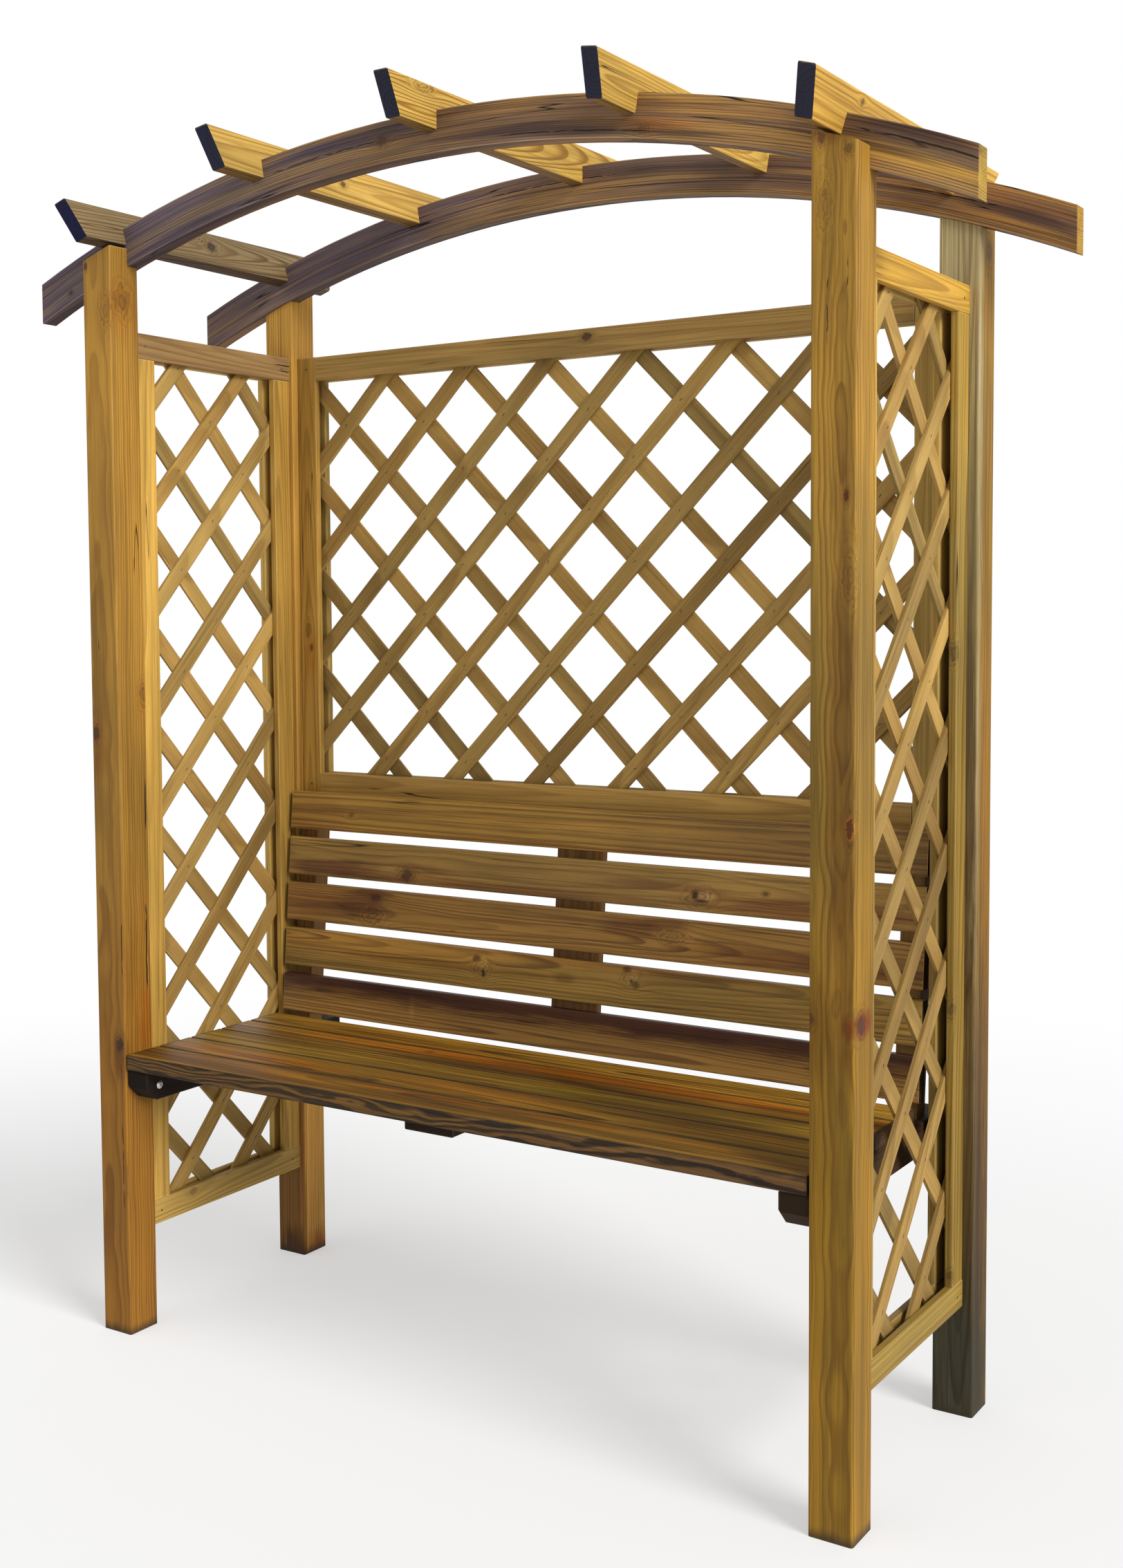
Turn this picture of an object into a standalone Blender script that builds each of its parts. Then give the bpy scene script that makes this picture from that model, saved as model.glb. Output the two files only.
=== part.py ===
"""Arbor bench of planed softwood, in metres, +Z up.

The front faces -Y and the origin is on the ground under the middle of the bench. Four posts carry
two laminated arches, which sit in rebates behind a cheek at each post's top. Five rafters are
notched over the arches. Three trellis panels, each a lattice held between two frames, close the
sides and the back. The seat lies on bearers screwed to the posts, and the backrest leans back
from it on three battens.
"""
import math

import bmesh
import bpy
from mathutils import Matrix, Vector

# Fits
JOINT_GAP = 0.0003
CUT_OVERRUN = 0.02
MERGE_DISTANCE = 0.00005

# Posts
WIDTH_OVER_POSTS = 1.513
DEPTH_OVER_POSTS = 0.568
POST_SIDE = 0.070
POST_EDGE_RADIUS = 0.004
POST_EDGE_SEGMENTS = 3

# Planed timber in general
EDGE_RADIUS = 0.0025
EDGE_SEGMENTS = 2
EDGE_ROUNDNESS = 0.5
SHARP_EDGE_ANGLE = math.radians(30)

# Arches
ARCH_CROWN_HEIGHT = 2.0843
ARCH_INNER_RADIUS = 2.2955
ARCH_DEPTH = 0.0675
ARCH_THICKNESS = 0.0335
ARCH_OVERHANG = 0.1555
ARCH_STEPS = 36
CHEEK_THICKNESS = 0.043
CHEEK_RISE = 0.030

# Rafters
RAFTER_WIDTH = 0.028
RAFTER_HEIGHT = 0.067
RAFTER_NOTCH = 0.0317
RAFTER_OVERHANG = 0.085
RAFTER_END_SLANT = 0.032
OUTER_RAFTER_INSET = 0.0475
RAFTER_ANGLE_SHARES = (-1, -0.52, 0, 0.52, 1)

# Trellis panels
PANEL_ARCH_GAP = 0.104
SIDE_PANEL_BOTTOM = 0.1865
BACK_PANEL_BOTTOM = 0.970
PANEL_THICKNESS = 0.044
SIDE_PANEL_INSET = 0.008
BACK_PANEL_INSET = 0.016
BATTEN_WIDTH = 0.047
LATH_WIDTH = 0.0315
LATH_THICKNESS = 0.0075
LATH_EDGE = 0.002
LATH_SEAM = 0.0002
LATH_END_INSET = 0.004
LATH_REACH_SHARE = 0.666
SIDE_MESHES_ACROSS = 2.2436
SIDE_MESHES_UP = 8.8058
SIDE_CROSSING_RISE = 0.0005
SIDE_CROSSING_OFFSET = -0.0045
BACK_MESHES_ACROSS = 7.2042
BACK_MESHES_UP = 4.6929
BACK_CROSSING_RISE = 0.0832
BACK_CROSSING_OFFSET = -0.0924

# Seat
SEAT_HEIGHT = 0.531
SEAT_SLAT_COUNT = 5
SEAT_SLAT_THICKNESS = 0.029
SEAT_SLAT_GAP = 0.0025
SLAT_END_GAP = 0.003
BEARER_WIDTH = 0.050
BEARER_HEIGHT = 0.055
BEARER_CHAMFER = 0.025
BEARER_SETBACK = 0.004
CLEAT_WIDTH = 0.100
CLEAT_THICKNESS = 0.0235
CLEAT_OFFSET = -0.015
CLEAT_SETBACK = 0.033
CLEAT_TAIL = 0.012

# Backrest
BACKREST_ANGLE = math.radians(5.1)
BACK_SLAT_COUNT = 5
BACK_SLAT_WIDTH = 0.0765
BACK_SLAT_GAP = 0.0166
BACK_SLAT_THICKNESS = 0.022
BACKREST_RISE = 0.003
BACKREST_SEAT_GAP = 0.017
BACKREST_PANEL_GAP = 0.014
SIDE_SUPPORT_WIDTH = 0.041
SIDE_SUPPORT_THICKNESS = 0.040
SIDE_SUPPORT_INSET = 0.0145
MIDDLE_SUPPORT_WIDTH = 0.100
MIDDLE_SUPPORT_THICKNESS = 0.018
MIDDLE_SUPPORT_RISE = 0.012

# Bearer screws
SCREW_HEAD_RADIUS = 0.0075
SCREW_HEAD_HEIGHT = 0.004
SCREW_SHANK_RADIUS = 0.004
SCREW_LENGTH = 0.090
SCREW_TIP = 0.006
SCREW_SIDES = 16
HEAD_PROFILE_SHARES = ((0, 1), (0.5, 0.92), (0.85, 0.6), (1, 0.2), (1, 0))

# Places worked out from the sizes above
HALF_WIDTH = WIDTH_OVER_POSTS / 2
HALF_DEPTH = DEPTH_OVER_POSTS / 2
POST_X = HALF_WIDTH - POST_SIDE / 2
POST_Y = HALF_DEPTH - POST_SIDE / 2
POST_INNER_X = HALF_WIDTH - POST_SIDE
POST_INNER_Y = HALF_DEPTH - POST_SIDE
ARCH_CENTRE_Z = ARCH_CROWN_HEIGHT - ARCH_INNER_RADIUS
ARCH_OUTER_RADIUS = ARCH_INNER_RADIUS + ARCH_DEPTH
ARCH_HALF_SPAN = HALF_WIDTH + ARCH_OVERHANG
ARCH_Y = HALF_DEPTH - CHEEK_THICKNESS - JOINT_GAP - ARCH_THICKNESS / 2
PANEL_TOP = ARCH_CENTRE_Z + math.sqrt(ARCH_INNER_RADIUS**2 - POST_X**2) - PANEL_ARCH_GAP
SEAT_UNDERSIDE = SEAT_HEIGHT - SEAT_SLAT_THICKNESS
BEARER_TOP = SEAT_UNDERSIDE - JOINT_GAP
BEARER_X = POST_INNER_X - JOINT_GAP - BEARER_WIDTH / 2
BACK_PANEL_FRONT = POST_INNER_Y + BACK_PANEL_INSET
BACKREST_LENGTH = BACK_SLAT_COUNT * BACK_SLAT_WIDTH + (BACK_SLAT_COUNT - 1) * BACK_SLAT_GAP
BACKREST_TOP_Y = BACK_PANEL_FRONT - BACKREST_PANEL_GAP - BACK_SLAT_THICKNESS / math.cos(BACKREST_ANGLE)
BACKREST_FOOT_Y = BACKREST_TOP_Y - BACKREST_LENGTH * math.sin(BACKREST_ANGLE)
BACKREST_FOOT_Z = SEAT_HEIGHT + BACKREST_RISE
SEAT_REAR = BACKREST_FOOT_Y - BACKREST_SEAT_GAP
SEAT_PITCH = (SEAT_REAR + HALF_DEPTH + SEAT_SLAT_GAP) / SEAT_SLAT_COUNT
SLAT_LENGTH = 2 * (POST_INNER_X - SLAT_END_GAP)

# Colour, roughness and metallic value of each kind of piece
FINISHES = {
    "post_pine": ((0.38, 0.20, 0.055), 0.72, 0),
    "arch_glulam": ((0.21, 0.12, 0.055), 0.75, 0),
    "rafter_pine": ((0.42, 0.24, 0.07), 0.74, 0),
    "frame_pine": ((0.40, 0.24, 0.065), 0.72, 0),
    "lath_pine": ((0.36, 0.25, 0.09), 0.75, 0),
    "seat_pine": ((0.20, 0.115, 0.035), 0.66, 0),
    "backrest_pine": ((0.21, 0.12, 0.04), 0.68, 0),
    "bearer_pine": ((0.10, 0.06, 0.03), 0.78, 0),
    "zinc_steel": ((0.60, 0.60, 0.58), 0.35, 1),
}


def clear_scene():
    """Removes every object of the open scene."""
    for old in list(bpy.data.objects):
        bpy.data.objects.remove(old, do_unlink=True)


def make_collection(name):
    """A new collection under the scene's own."""
    collection = bpy.data.collections.new(name)
    bpy.context.scene.collection.children.link(collection)
    return collection


def make_finish(name):
    """The Principled material of one kind of piece."""
    colour, roughness, metallic = FINISHES[name]
    material = bpy.data.materials.new(name)
    material.use_nodes = True
    shader = material.node_tree.nodes["Principled BSDF"]
    shader.inputs["Base Color"].default_value = (*colour, 1)
    shader.inputs["Roughness"].default_value = roughness
    shader.inputs["Metallic"].default_value = metallic
    return material


clear_scene()
PARTS = make_collection("arbor_bench")
CUTTERS = make_collection("arbor_bench_cutters")
MATERIALS = {name: make_finish(name) for name in FINISHES}


def add_part(name, mesh, finish):
    """Puts a mesh into the bench's collection as a named piece with its material."""
    piece = bpy.data.objects.new(name, mesh)
    mesh.materials.append(MATERIALS[finish])
    PARTS.objects.link(piece)
    return piece


def add_cutter(name, mesh):
    """Puts a mesh into the cutters' collection, out of the model and the render."""
    cutter = bpy.data.objects.new(name, mesh)
    CUTTERS.objects.link(cutter)
    cutter.hide_render = True
    cutter.display_type = "WIRE"
    return cutter


def boolean(piece, cutter, operation):
    """Adds one exact Boolean to a piece."""
    step = piece.modifiers.new(f"{operation.lower()}_{cutter.name}"[:60], "BOOLEAN")
    step.operation = operation
    step.solver = "EXACT"
    step.object = cutter


def box_mesh(name, size):
    """A plain box round the origin."""
    bm = bmesh.new()
    bmesh.ops.create_cube(bm, size=1)
    bmesh.ops.scale(bm, vec=size, verts=bm.verts)
    mesh = bpy.data.meshes.new(name)
    bm.to_mesh(mesh)
    bm.free()
    return mesh


def bar_mesh(name, size, grain, radius=EDGE_RADIUS, segments=EDGE_SEGMENTS):
    """A sawn bar round the origin, its long edges rounded along the grain axis and its ends square."""
    bm = bmesh.new()
    bmesh.ops.create_cube(bm, size=1)
    bmesh.ops.scale(bm, vec=size, verts=bm.verts)
    long_edges = [
        edge for edge in bm.edges
        if abs(edge.verts[0].co[grain] - edge.verts[1].co[grain]) > size[grain] / 2
    ]
    bmesh.ops.bevel(
        bm, geom=long_edges, offset=radius, segments=segments, profile=EDGE_ROUNDNESS, affect="EDGES")
    mesh = bpy.data.meshes.new(name)
    bm.to_mesh(mesh)
    bm.free()
    return mesh


def slide_ends(mesh, axis, shift):
    """Slides each vertex of a bar along its axis, so that its ends are cut on a slant."""
    for vertex in mesh.vertices:
        vertex.co[axis] += shift(vertex.co)


def outline_mesh(name, points, thickness):
    """A flat outline of (x, z) points made solid, half its thickness to each side of the XZ plane."""
    curve = bpy.data.curves.new(name, "CURVE")
    curve.dimensions = "2D"
    curve.fill_mode = "BOTH"
    curve.extrude = thickness / 2
    spline = curve.splines.new("POLY")
    spline.points.add(len(points) - 1)
    for place, (x, z) in zip(spline.points, points):
        place.co = (x, z, 0, 1)
    spline.use_cyclic_u = True
    drawing = bpy.data.objects.new(name, curve)
    CUTTERS.objects.link(drawing)
    bpy.context.view_layer.update()
    evaluated = drawing.evaluated_get(bpy.context.evaluated_depsgraph_get())
    mesh = bpy.data.meshes.new_from_object(evaluated)
    bpy.data.objects.remove(drawing, do_unlink=True)
    bpy.data.curves.remove(curve)
    bm = bmesh.new()
    bm.from_mesh(mesh)
    bmesh.ops.remove_doubles(bm, verts=bm.verts, dist=MERGE_DISTANCE)
    bmesh.ops.rotate(bm, verts=bm.verts, matrix=Matrix.Rotation(math.pi / 2, 3, "X"))
    bmesh.ops.recalc_face_normals(bm, faces=bm.faces)
    bm.to_mesh(mesh)
    bm.free()
    mesh.name = name
    return mesh


def round_edges(piece, radius):
    """Chamfers the sharp edges of a piece that was made from an outline."""
    step = piece.modifiers.new("worn_edges", "BEVEL")
    step.width = radius
    step.segments = 1
    step.limit_method = "ANGLE"
    step.angle_limit = SHARP_EDGE_ANGLE


def arc_points(radius, half_span):
    """Points of an arc about the arches' centre, from -X to +X."""
    reach = math.asin(half_span / radius)
    angles = [reach * (2 * step / ARCH_STEPS - 1) for step in range(ARCH_STEPS + 1)]
    return [(radius * math.sin(a), ARCH_CENTRE_Z + radius * math.cos(a)) for a in angles]


def arch_outline(inner_radius, outer_radius, half_span):
    """An arch seen from the front, its ends cut plumb."""
    return arc_points(outer_radius, half_span) + arc_points(inner_radius, half_span)[::-1]


def above_arc_outline(radius, half_span, top):
    """The space over an arc, up to a level top."""
    return arc_points(radius, half_span) + [(half_span, top), (-half_span, top)]


def build_posts():
    """Four posts, each with a rebate for its arch behind a cheek that is cut along the arch."""
    reach = ARCH_HALF_SPAN
    cheek_radius = ARCH_INNER_RADIUS + CHEEK_RISE
    blank_top = ARCH_CENTRE_Z + math.sqrt(cheek_radius**2 - POST_INNER_X**2) + CUT_OVERRUN
    cut_top = ARCH_CROWN_HEIGHT + CHEEK_RISE + CUT_OVERRUN
    rebate = add_cutter("rebate_cutter", outline_mesh(
        "rebate_cutter",
        above_arc_outline(ARCH_INNER_RADIUS - JOINT_GAP, reach, cut_top),
        2 * (HALF_DEPTH - CHEEK_THICKNESS)))
    tops = add_cutter("post_top_cutter", outline_mesh(
        "post_top_cutter",
        above_arc_outline(cheek_radius, reach, cut_top),
        DEPTH_OVER_POSTS + 2 * CUT_OVERRUN))
    posts = {}
    for row, side_y in (("front", -1), ("rear", 1)):
        for hand, side_x in (("left", -1), ("right", 1)):
            name = f"{row}_{hand}_post"
            mesh = bar_mesh(
                name, (POST_SIDE, POST_SIDE, blank_top), 2, POST_EDGE_RADIUS, POST_EDGE_SEGMENTS)
            post = add_part(name, mesh, "post_pine")
            post.location = (side_x * POST_X, side_y * POST_Y, blank_top / 2)
            boolean(post, tops, "DIFFERENCE")
            boolean(post, rebate, "DIFFERENCE")
            posts[row, hand] = post
    return posts


def build_arches():
    """Two laminated arches with plumb ends."""
    for row, side_y in (("front", -1), ("rear", 1)):
        name = f"{row}_arch"
        points = arch_outline(ARCH_INNER_RADIUS, ARCH_OUTER_RADIUS, ARCH_HALF_SPAN)
        arch = add_part(name, outline_mesh(name, points, ARCH_THICKNESS), "arch_glulam")
        arch.location = (0, side_y * ARCH_Y, 0)
        round_edges(arch, EDGE_RADIUS)


def build_rafters():
    """Five rafters square to the arches, notched over both, their ends cut back underneath."""
    outer_angle = math.asin((HALF_WIDTH - OUTER_RAFTER_INSET) / ARCH_OUTER_RADIUS)
    length = DEPTH_OVER_POSTS + 2 * RAFTER_OVERHANG
    slant = RAFTER_END_SLANT / RAFTER_HEIGHT
    notch_cutters = []
    for row, side_y in (("front", -1), ("rear", 1)):
        name = f"{row}_notch_cutter"
        points = arch_outline(ARCH_INNER_RADIUS, ARCH_OUTER_RADIUS + JOINT_GAP, ARCH_HALF_SPAN)
        cutter = add_cutter(name, outline_mesh(name, points, ARCH_THICKNESS + 2 * JOINT_GAP))
        cutter.location = (0, side_y * ARCH_Y, 0)
        notch_cutters.append(cutter)
    middle_radius = ARCH_OUTER_RADIUS - RAFTER_NOTCH + RAFTER_HEIGHT / 2
    for number, share in enumerate(RAFTER_ANGLE_SHARES, 1):
        angle = share * outer_angle
        name = f"rafter_{number}"
        mesh = bar_mesh(name, (RAFTER_WIDTH, length, RAFTER_HEIGHT), 1)
        slide_ends(mesh, 1, lambda co: -math.copysign((RAFTER_HEIGHT / 2 - co.z) * slant, co.y))
        rafter = add_part(name, mesh, "rafter_pine")
        rafter.location = (
            middle_radius * math.sin(angle), 0, ARCH_CENTRE_Z + middle_radius * math.cos(angle))
        rafter.rotation_euler = (0, angle, 0)
        for cutter in notch_cutters:
            boolean(rafter, cutter, "DIFFERENCE")


def lath_runs(length, height, meshes, crossing, slope):
    """Middle, length and angle of each lath of one lattice layer, clipped to its panel.

    Places are counted in meshes, so the lattice stretches with its panel: x in mesh widths and z
    in mesh heights. A lath keeps z - slope * x at one value, and the laths lie one mesh apart.
    One that only clips a corner, and so crosses no lath of the other layer, is left out.
    """
    mesh_width = length / meshes[0]
    mesh_height = height / meshes[1]
    mesh_diagonal = math.hypot(mesh_width, mesh_height)
    half_across = meshes[0] / 2
    first = crossing[1] / mesh_height - slope * crossing[0] / mesh_width
    start = math.ceil(-half_across - first)
    stop = math.floor(meshes[1] + half_across - first)
    for step in range(start, stop + 1):
        level = first + step
        ends = sorted((-slope * level, slope * (meshes[1] - level)))
        left = max(-half_across, ends[0])
        right = min(half_across, ends[1])
        if right - left > LATH_REACH_SHARE:
            middle = (left + right) / 2
            centre = Vector((middle * mesh_width, 0, (level + slope * middle) * mesh_height))
            yield centre, (right - left) * mesh_diagonal, math.atan2(slope * mesh_height, mesh_width)


def lattice_layer(name, length, height, meshes, crossing, slope, side_y):
    """All laths of one layer as one mesh, their outer long edges taken off."""
    whole = bmesh.new()
    depth = LATH_THICKNESS + LATH_SEAM / 2
    for centre, run, angle in lath_runs(length, height, meshes, crossing, slope):
        bm = bmesh.new()
        bmesh.ops.create_cube(bm, size=1)
        size = (run + 2 * LATH_WIDTH, depth, LATH_WIDTH)
        bmesh.ops.scale(bm, vec=size, verts=bm.verts)
        outer_edges = [
            edge for edge in bm.edges
            if all(vertex.co.y * side_y > 0 for vertex in edge.verts)
            and abs(edge.verts[0].co.x - edge.verts[1].co.x) > size[0] / 2
        ]
        bmesh.ops.bevel(bm, geom=outer_edges, offset=LATH_EDGE, segments=1, affect="EDGES")
        shift = Vector((0, side_y * (LATH_THICKNESS - LATH_SEAM / 2) / 2, 0))
        bm.transform(Matrix.Translation(centre + shift) @ Matrix.Rotation(-angle, 4, "Y"))
        lath = bpy.data.meshes.new(name)
        bm.to_mesh(lath)
        bm.free()
        whole.from_mesh(lath)
        bpy.data.meshes.remove(lath)
    mesh = bpy.data.meshes.new(name)
    whole.to_mesh(mesh)
    whole.free()
    return mesh


def build_panel(name, faces, place, turn, length, bottom, full_stiles, meshes, crossing):
    """One trellis panel: a lattice of two crossed layers held between two frames of battens.

    The panel is drawn in its own XZ plane, its foot at the origin. faces names the frame on its
    -Y side and the one on its +Y side. Either the stiles run full height and the rails fit
    between them, or the other way round. meshes counts the lattice's meshes across and up the
    panel, and crossing is the place of one crossing of two laths.
    """
    height = PANEL_TOP - bottom
    rail_length = length - 2 * (BATTEN_WIDTH + JOINT_GAP) if full_stiles else length
    stile_length = height if full_stiles else height - 2 * (BATTEN_WIDTH + JOINT_GAP)
    batten_thickness = PANEL_THICKNESS / 2 - LATH_THICKNESS - JOINT_GAP
    frame_y = (PANEL_THICKNESS - batten_thickness) / 2
    place_matrix = Matrix.Translation(place) @ Matrix.Rotation(turn, 4, "Z")
    for face, side_y in zip(faces, (-1, 1)):
        for end, z in (("bottom", BATTEN_WIDTH / 2), ("top", height - BATTEN_WIDTH / 2)):
            batten = f"{name}_{face}_{end}_rail"
            mesh = bar_mesh(batten, (rail_length, batten_thickness, BATTEN_WIDTH), 0)
            rail = add_part(batten, mesh, "frame_pine")
            rail.matrix_world = place_matrix @ Matrix.Translation((0, side_y * frame_y, z))
        for end, side_x in (("start", -1), ("end", 1)):
            batten = f"{name}_{face}_{end}_stile"
            mesh = bar_mesh(batten, (BATTEN_WIDTH, batten_thickness, stile_length), 2)
            stile = add_part(batten, mesh, "frame_pine")
            x = side_x * (length - BATTEN_WIDTH) / 2
            stile.matrix_world = place_matrix @ Matrix.Translation((x, side_y * frame_y, height / 2))
    layers = []
    for side_y, slope in ((-1, 1), (1, -1)):
        layer = f"{name}_lattice" if side_y < 0 else f"{name}_second_layer"
        layers.append(lattice_layer(layer, length, height, meshes, crossing, slope, side_y))
    trim_size = (
        length - 2 * LATH_END_INSET, PANEL_THICKNESS, height - 2 * LATH_END_INSET)
    trim = add_cutter(f"{name}_trim", box_mesh(f"{name}_trim", trim_size))
    trim.matrix_world = place_matrix @ Matrix.Translation((0, 0, height / 2))
    second = add_cutter(f"{name}_second_layer", layers[1])
    second.matrix_world = place_matrix
    boolean(second, trim, "INTERSECT")
    lattice = add_part(f"{name}_lattice", layers[0], "lath_pine")
    lattice.matrix_world = place_matrix
    boolean(lattice, trim, "INTERSECT")
    boolean(lattice, second, "UNION")


def build_panels():
    """The two side panels between the front and rear posts, and the back panel between the rear posts."""
    side_length = 2 * (POST_INNER_Y - JOINT_GAP)
    side_x = POST_INNER_X + SIDE_PANEL_INSET + PANEL_THICKNESS / 2
    for hand, side, faces in (("left", -1, ("inner", "outer")), ("right", 1, ("outer", "inner"))):
        build_panel(
            f"{hand}_trellis", faces, Vector((side * side_x, 0, SIDE_PANEL_BOTTOM)), math.pi / 2,
            side_length, SIDE_PANEL_BOTTOM, False, (SIDE_MESHES_ACROSS, SIDE_MESHES_UP),
            (SIDE_CROSSING_OFFSET, SIDE_CROSSING_RISE))
    back_y = BACK_PANEL_FRONT + PANEL_THICKNESS / 2
    build_panel(
        "back_trellis", ("front", "rear"), Vector((0, back_y, BACK_PANEL_BOTTOM)), 0,
        2 * (POST_INNER_X - JOINT_GAP), BACK_PANEL_BOTTOM, True,
        (BACK_MESHES_ACROSS, BACK_MESHES_UP), (BACK_CROSSING_OFFSET, BACK_CROSSING_RISE))


def build_seat(posts):
    """The slats, the two bearers screwed to the posts, and the cleat that ties the slats at the middle."""
    slat_width = SEAT_PITCH - SEAT_SLAT_GAP
    for number in range(SEAT_SLAT_COUNT):
        name = f"seat_slat_{number + 1}"
        mesh = bar_mesh(name, (SLAT_LENGTH, slat_width, SEAT_SLAT_THICKNESS), 0)
        slat = add_part(name, mesh, "seat_pine")
        slat.location = (
            0, -HALF_DEPTH + number * SEAT_PITCH + slat_width / 2, SEAT_HEIGHT - SEAT_SLAT_THICKNESS / 2)
    build_bearers(posts)
    support_back = BACK_SLAT_THICKNESS + MIDDLE_SUPPORT_THICKNESS
    rear_end = BACKREST_FOOT_Y + support_back + CLEAT_TAIL
    front_end = CLEAT_SETBACK - HALF_DEPTH
    mesh = bar_mesh("seat_cleat", (CLEAT_WIDTH, rear_end - front_end, CLEAT_THICKNESS), 1)
    cleat = add_part("seat_cleat", mesh, "bearer_pine")
    cleat.location = (CLEAT_OFFSET, (rear_end + front_end) / 2, BEARER_TOP - CLEAT_THICKNESS / 2)


def build_bearers(posts):
    """Two bearers with their lower corners cut off, each held to its posts by two screws."""
    half = HALF_DEPTH - BEARER_SETBACK
    low = -BEARER_HEIGHT
    points = [
        (-half, 0), (-half, low + BEARER_CHAMFER), (-half + BEARER_CHAMFER, low),
        (half - BEARER_CHAMFER, low), (half, low + BEARER_CHAMFER), (half, 0),
    ]
    screw_z = BEARER_TOP - BEARER_HEIGHT / 2
    for hand, side in (("left", -1), ("right", 1)):
        name = f"{hand}_bearer"
        bearer = add_part(name, outline_mesh(name, points, BEARER_WIDTH), "bearer_pine")
        bearer.location = (side * BEARER_X, 0, BEARER_TOP)
        bearer.rotation_euler = (0, 0, math.pi / 2)
        round_edges(bearer, EDGE_RADIUS)
        head_x = BEARER_X - BEARER_WIDTH / 2 - JOINT_GAP
        for row, side_y in (("front", -1), ("rear", 1)):
            place = Matrix.Translation((side * head_x, side_y * POST_Y, screw_z))
            place = place @ Matrix.Rotation(-side * math.pi / 2, 4, "Y")
            screw = add_part(f"{row}_{hand}_bearer_screw", screw_mesh(), "zinc_steel")
            turn_profile(screw)
            screw.matrix_world = place
            hole = add_cutter(f"{row}_{hand}_screw_hole", hole_mesh())
            hole.matrix_world = place
            boolean(bearer, hole, "DIFFERENCE")
            boolean(posts[row, hand], hole, "DIFFERENCE")


def screw_mesh():
    """Half section of a domed screw along Z: the head over the origin and the shank below it."""
    head = [(SCREW_HEAD_RADIUS * r, SCREW_HEAD_HEIGHT * z) for r, z in HEAD_PROFILE_SHARES]
    shank = [
        (SCREW_SHANK_RADIUS, 0), (SCREW_SHANK_RADIUS, SCREW_TIP - SCREW_LENGTH), (0, -SCREW_LENGTH)]
    profile = [(r, 0, z) for r, z in head + shank]
    mesh = bpy.data.meshes.new("bearer_screw")
    mesh.from_pydata(profile, [(i, i + 1) for i in range(len(profile) - 1)], [])
    return mesh


def turn_profile(piece):
    """Turns a half section about Z."""
    step = piece.modifiers.new("turned", "SCREW")
    step.steps = SCREW_SIDES
    step.render_steps = SCREW_SIDES
    step.use_merge_vertices = True
    step.merge_threshold = MERGE_DISTANCE


def hole_mesh():
    """The hole for a bearer screw, from just over its head's seat to just past its tip."""
    bm = bmesh.new()
    radius = SCREW_SHANK_RADIUS + JOINT_GAP
    depth = SCREW_LENGTH + JOINT_GAP + CUT_OVERRUN
    bmesh.ops.create_cone(
        bm, cap_ends=True, segments=SCREW_SIDES, radius1=radius, radius2=radius, depth=depth)
    bmesh.ops.translate(bm, verts=bm.verts, vec=(0, 0, CUT_OVERRUN - depth / 2))
    mesh = bpy.data.meshes.new("screw_hole")
    bm.to_mesh(mesh)
    bm.free()
    return mesh


def build_backrest():
    """Five slats leaning back on three supports, whose level feet stand on the bearers and the cleat.

    The pieces hang on an empty at the lower front edge of the lowest slat, leaning back by the
    backrest's angle, so that its own Y runs square through the slats and its Z up them.
    """
    lean = bpy.data.objects.new("backrest_lean", None)
    PARTS.objects.link(lean)
    lean.location = (0, BACKREST_FOOT_Y, BACKREST_FOOT_Z)
    lean.rotation_euler = (-BACKREST_ANGLE, 0, 0)
    for number in range(BACK_SLAT_COUNT):
        name = f"back_slat_{number + 1}"
        mesh = bar_mesh(name, (SLAT_LENGTH, BACK_SLAT_THICKNESS, BACK_SLAT_WIDTH), 0)
        slat = add_part(name, mesh, "backrest_pine")
        slat.parent = lean
        from_top = BACK_SLAT_COUNT - 1 - number
        z = from_top * (BACK_SLAT_WIDTH + BACK_SLAT_GAP) + BACK_SLAT_WIDTH / 2
        slat.location = (0, BACK_SLAT_THICKNESS / 2, z)
    side_x = POST_INNER_X - SIDE_SUPPORT_INSET - SIDE_SUPPORT_WIDTH / 2
    on_bearers = BEARER_TOP + JOINT_GAP - BACKREST_FOOT_Z
    for name, x, width, thickness, foot in (
            ("left_back_support", -side_x, SIDE_SUPPORT_WIDTH, SIDE_SUPPORT_THICKNESS, on_bearers),
            ("middle_back_support", 0, MIDDLE_SUPPORT_WIDTH, MIDDLE_SUPPORT_THICKNESS, MIDDLE_SUPPORT_RISE),
            ("right_back_support", side_x, SIDE_SUPPORT_WIDTH, SIDE_SUPPORT_THICKNESS, on_bearers)):
        build_support(name, lean, x, width, thickness, foot)


def build_support(name, lean, x, width, thickness, foot):
    """One back support, its ends cut level, from its foot up to the back panel's underside."""
    y = BACK_SLAT_THICKNESS + JOINT_GAP + thickness / 2
    head = BACK_PANEL_BOTTOM - JOINT_GAP - BACKREST_FOOT_Z
    cosine = math.cos(BACKREST_ANGLE)
    tangent = math.tan(BACKREST_ANGLE)
    mesh = bar_mesh(name, (width, thickness, (head - foot) / cosine), 2)
    slide_ends(mesh, 2, lambda co: (co.y + y) * tangent)
    support = add_part(name, mesh, "backrest_pine")
    support.parent = lean
    support.location = (x, y, (head + foot) / 2 / cosine)


POSTS = build_posts()
build_arches()
build_rafters()
build_panels()
build_seat(POSTS)
build_backrest()
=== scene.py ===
"""Looks of the arbor bench: timber finishes, lattice laths, fixings, stage and camera.

Laid out as an add-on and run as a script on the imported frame. Lengths are metres.
"""

import math
from collections import namedtuple
from itertools import product

import bmesh
import bpy
import numpy as np
from bpy.props import FloatProperty, FloatVectorProperty, PointerProperty
from bpy.types import Operator, Panel, PropertyGroup
from mathutils import Matrix, Vector


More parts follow.
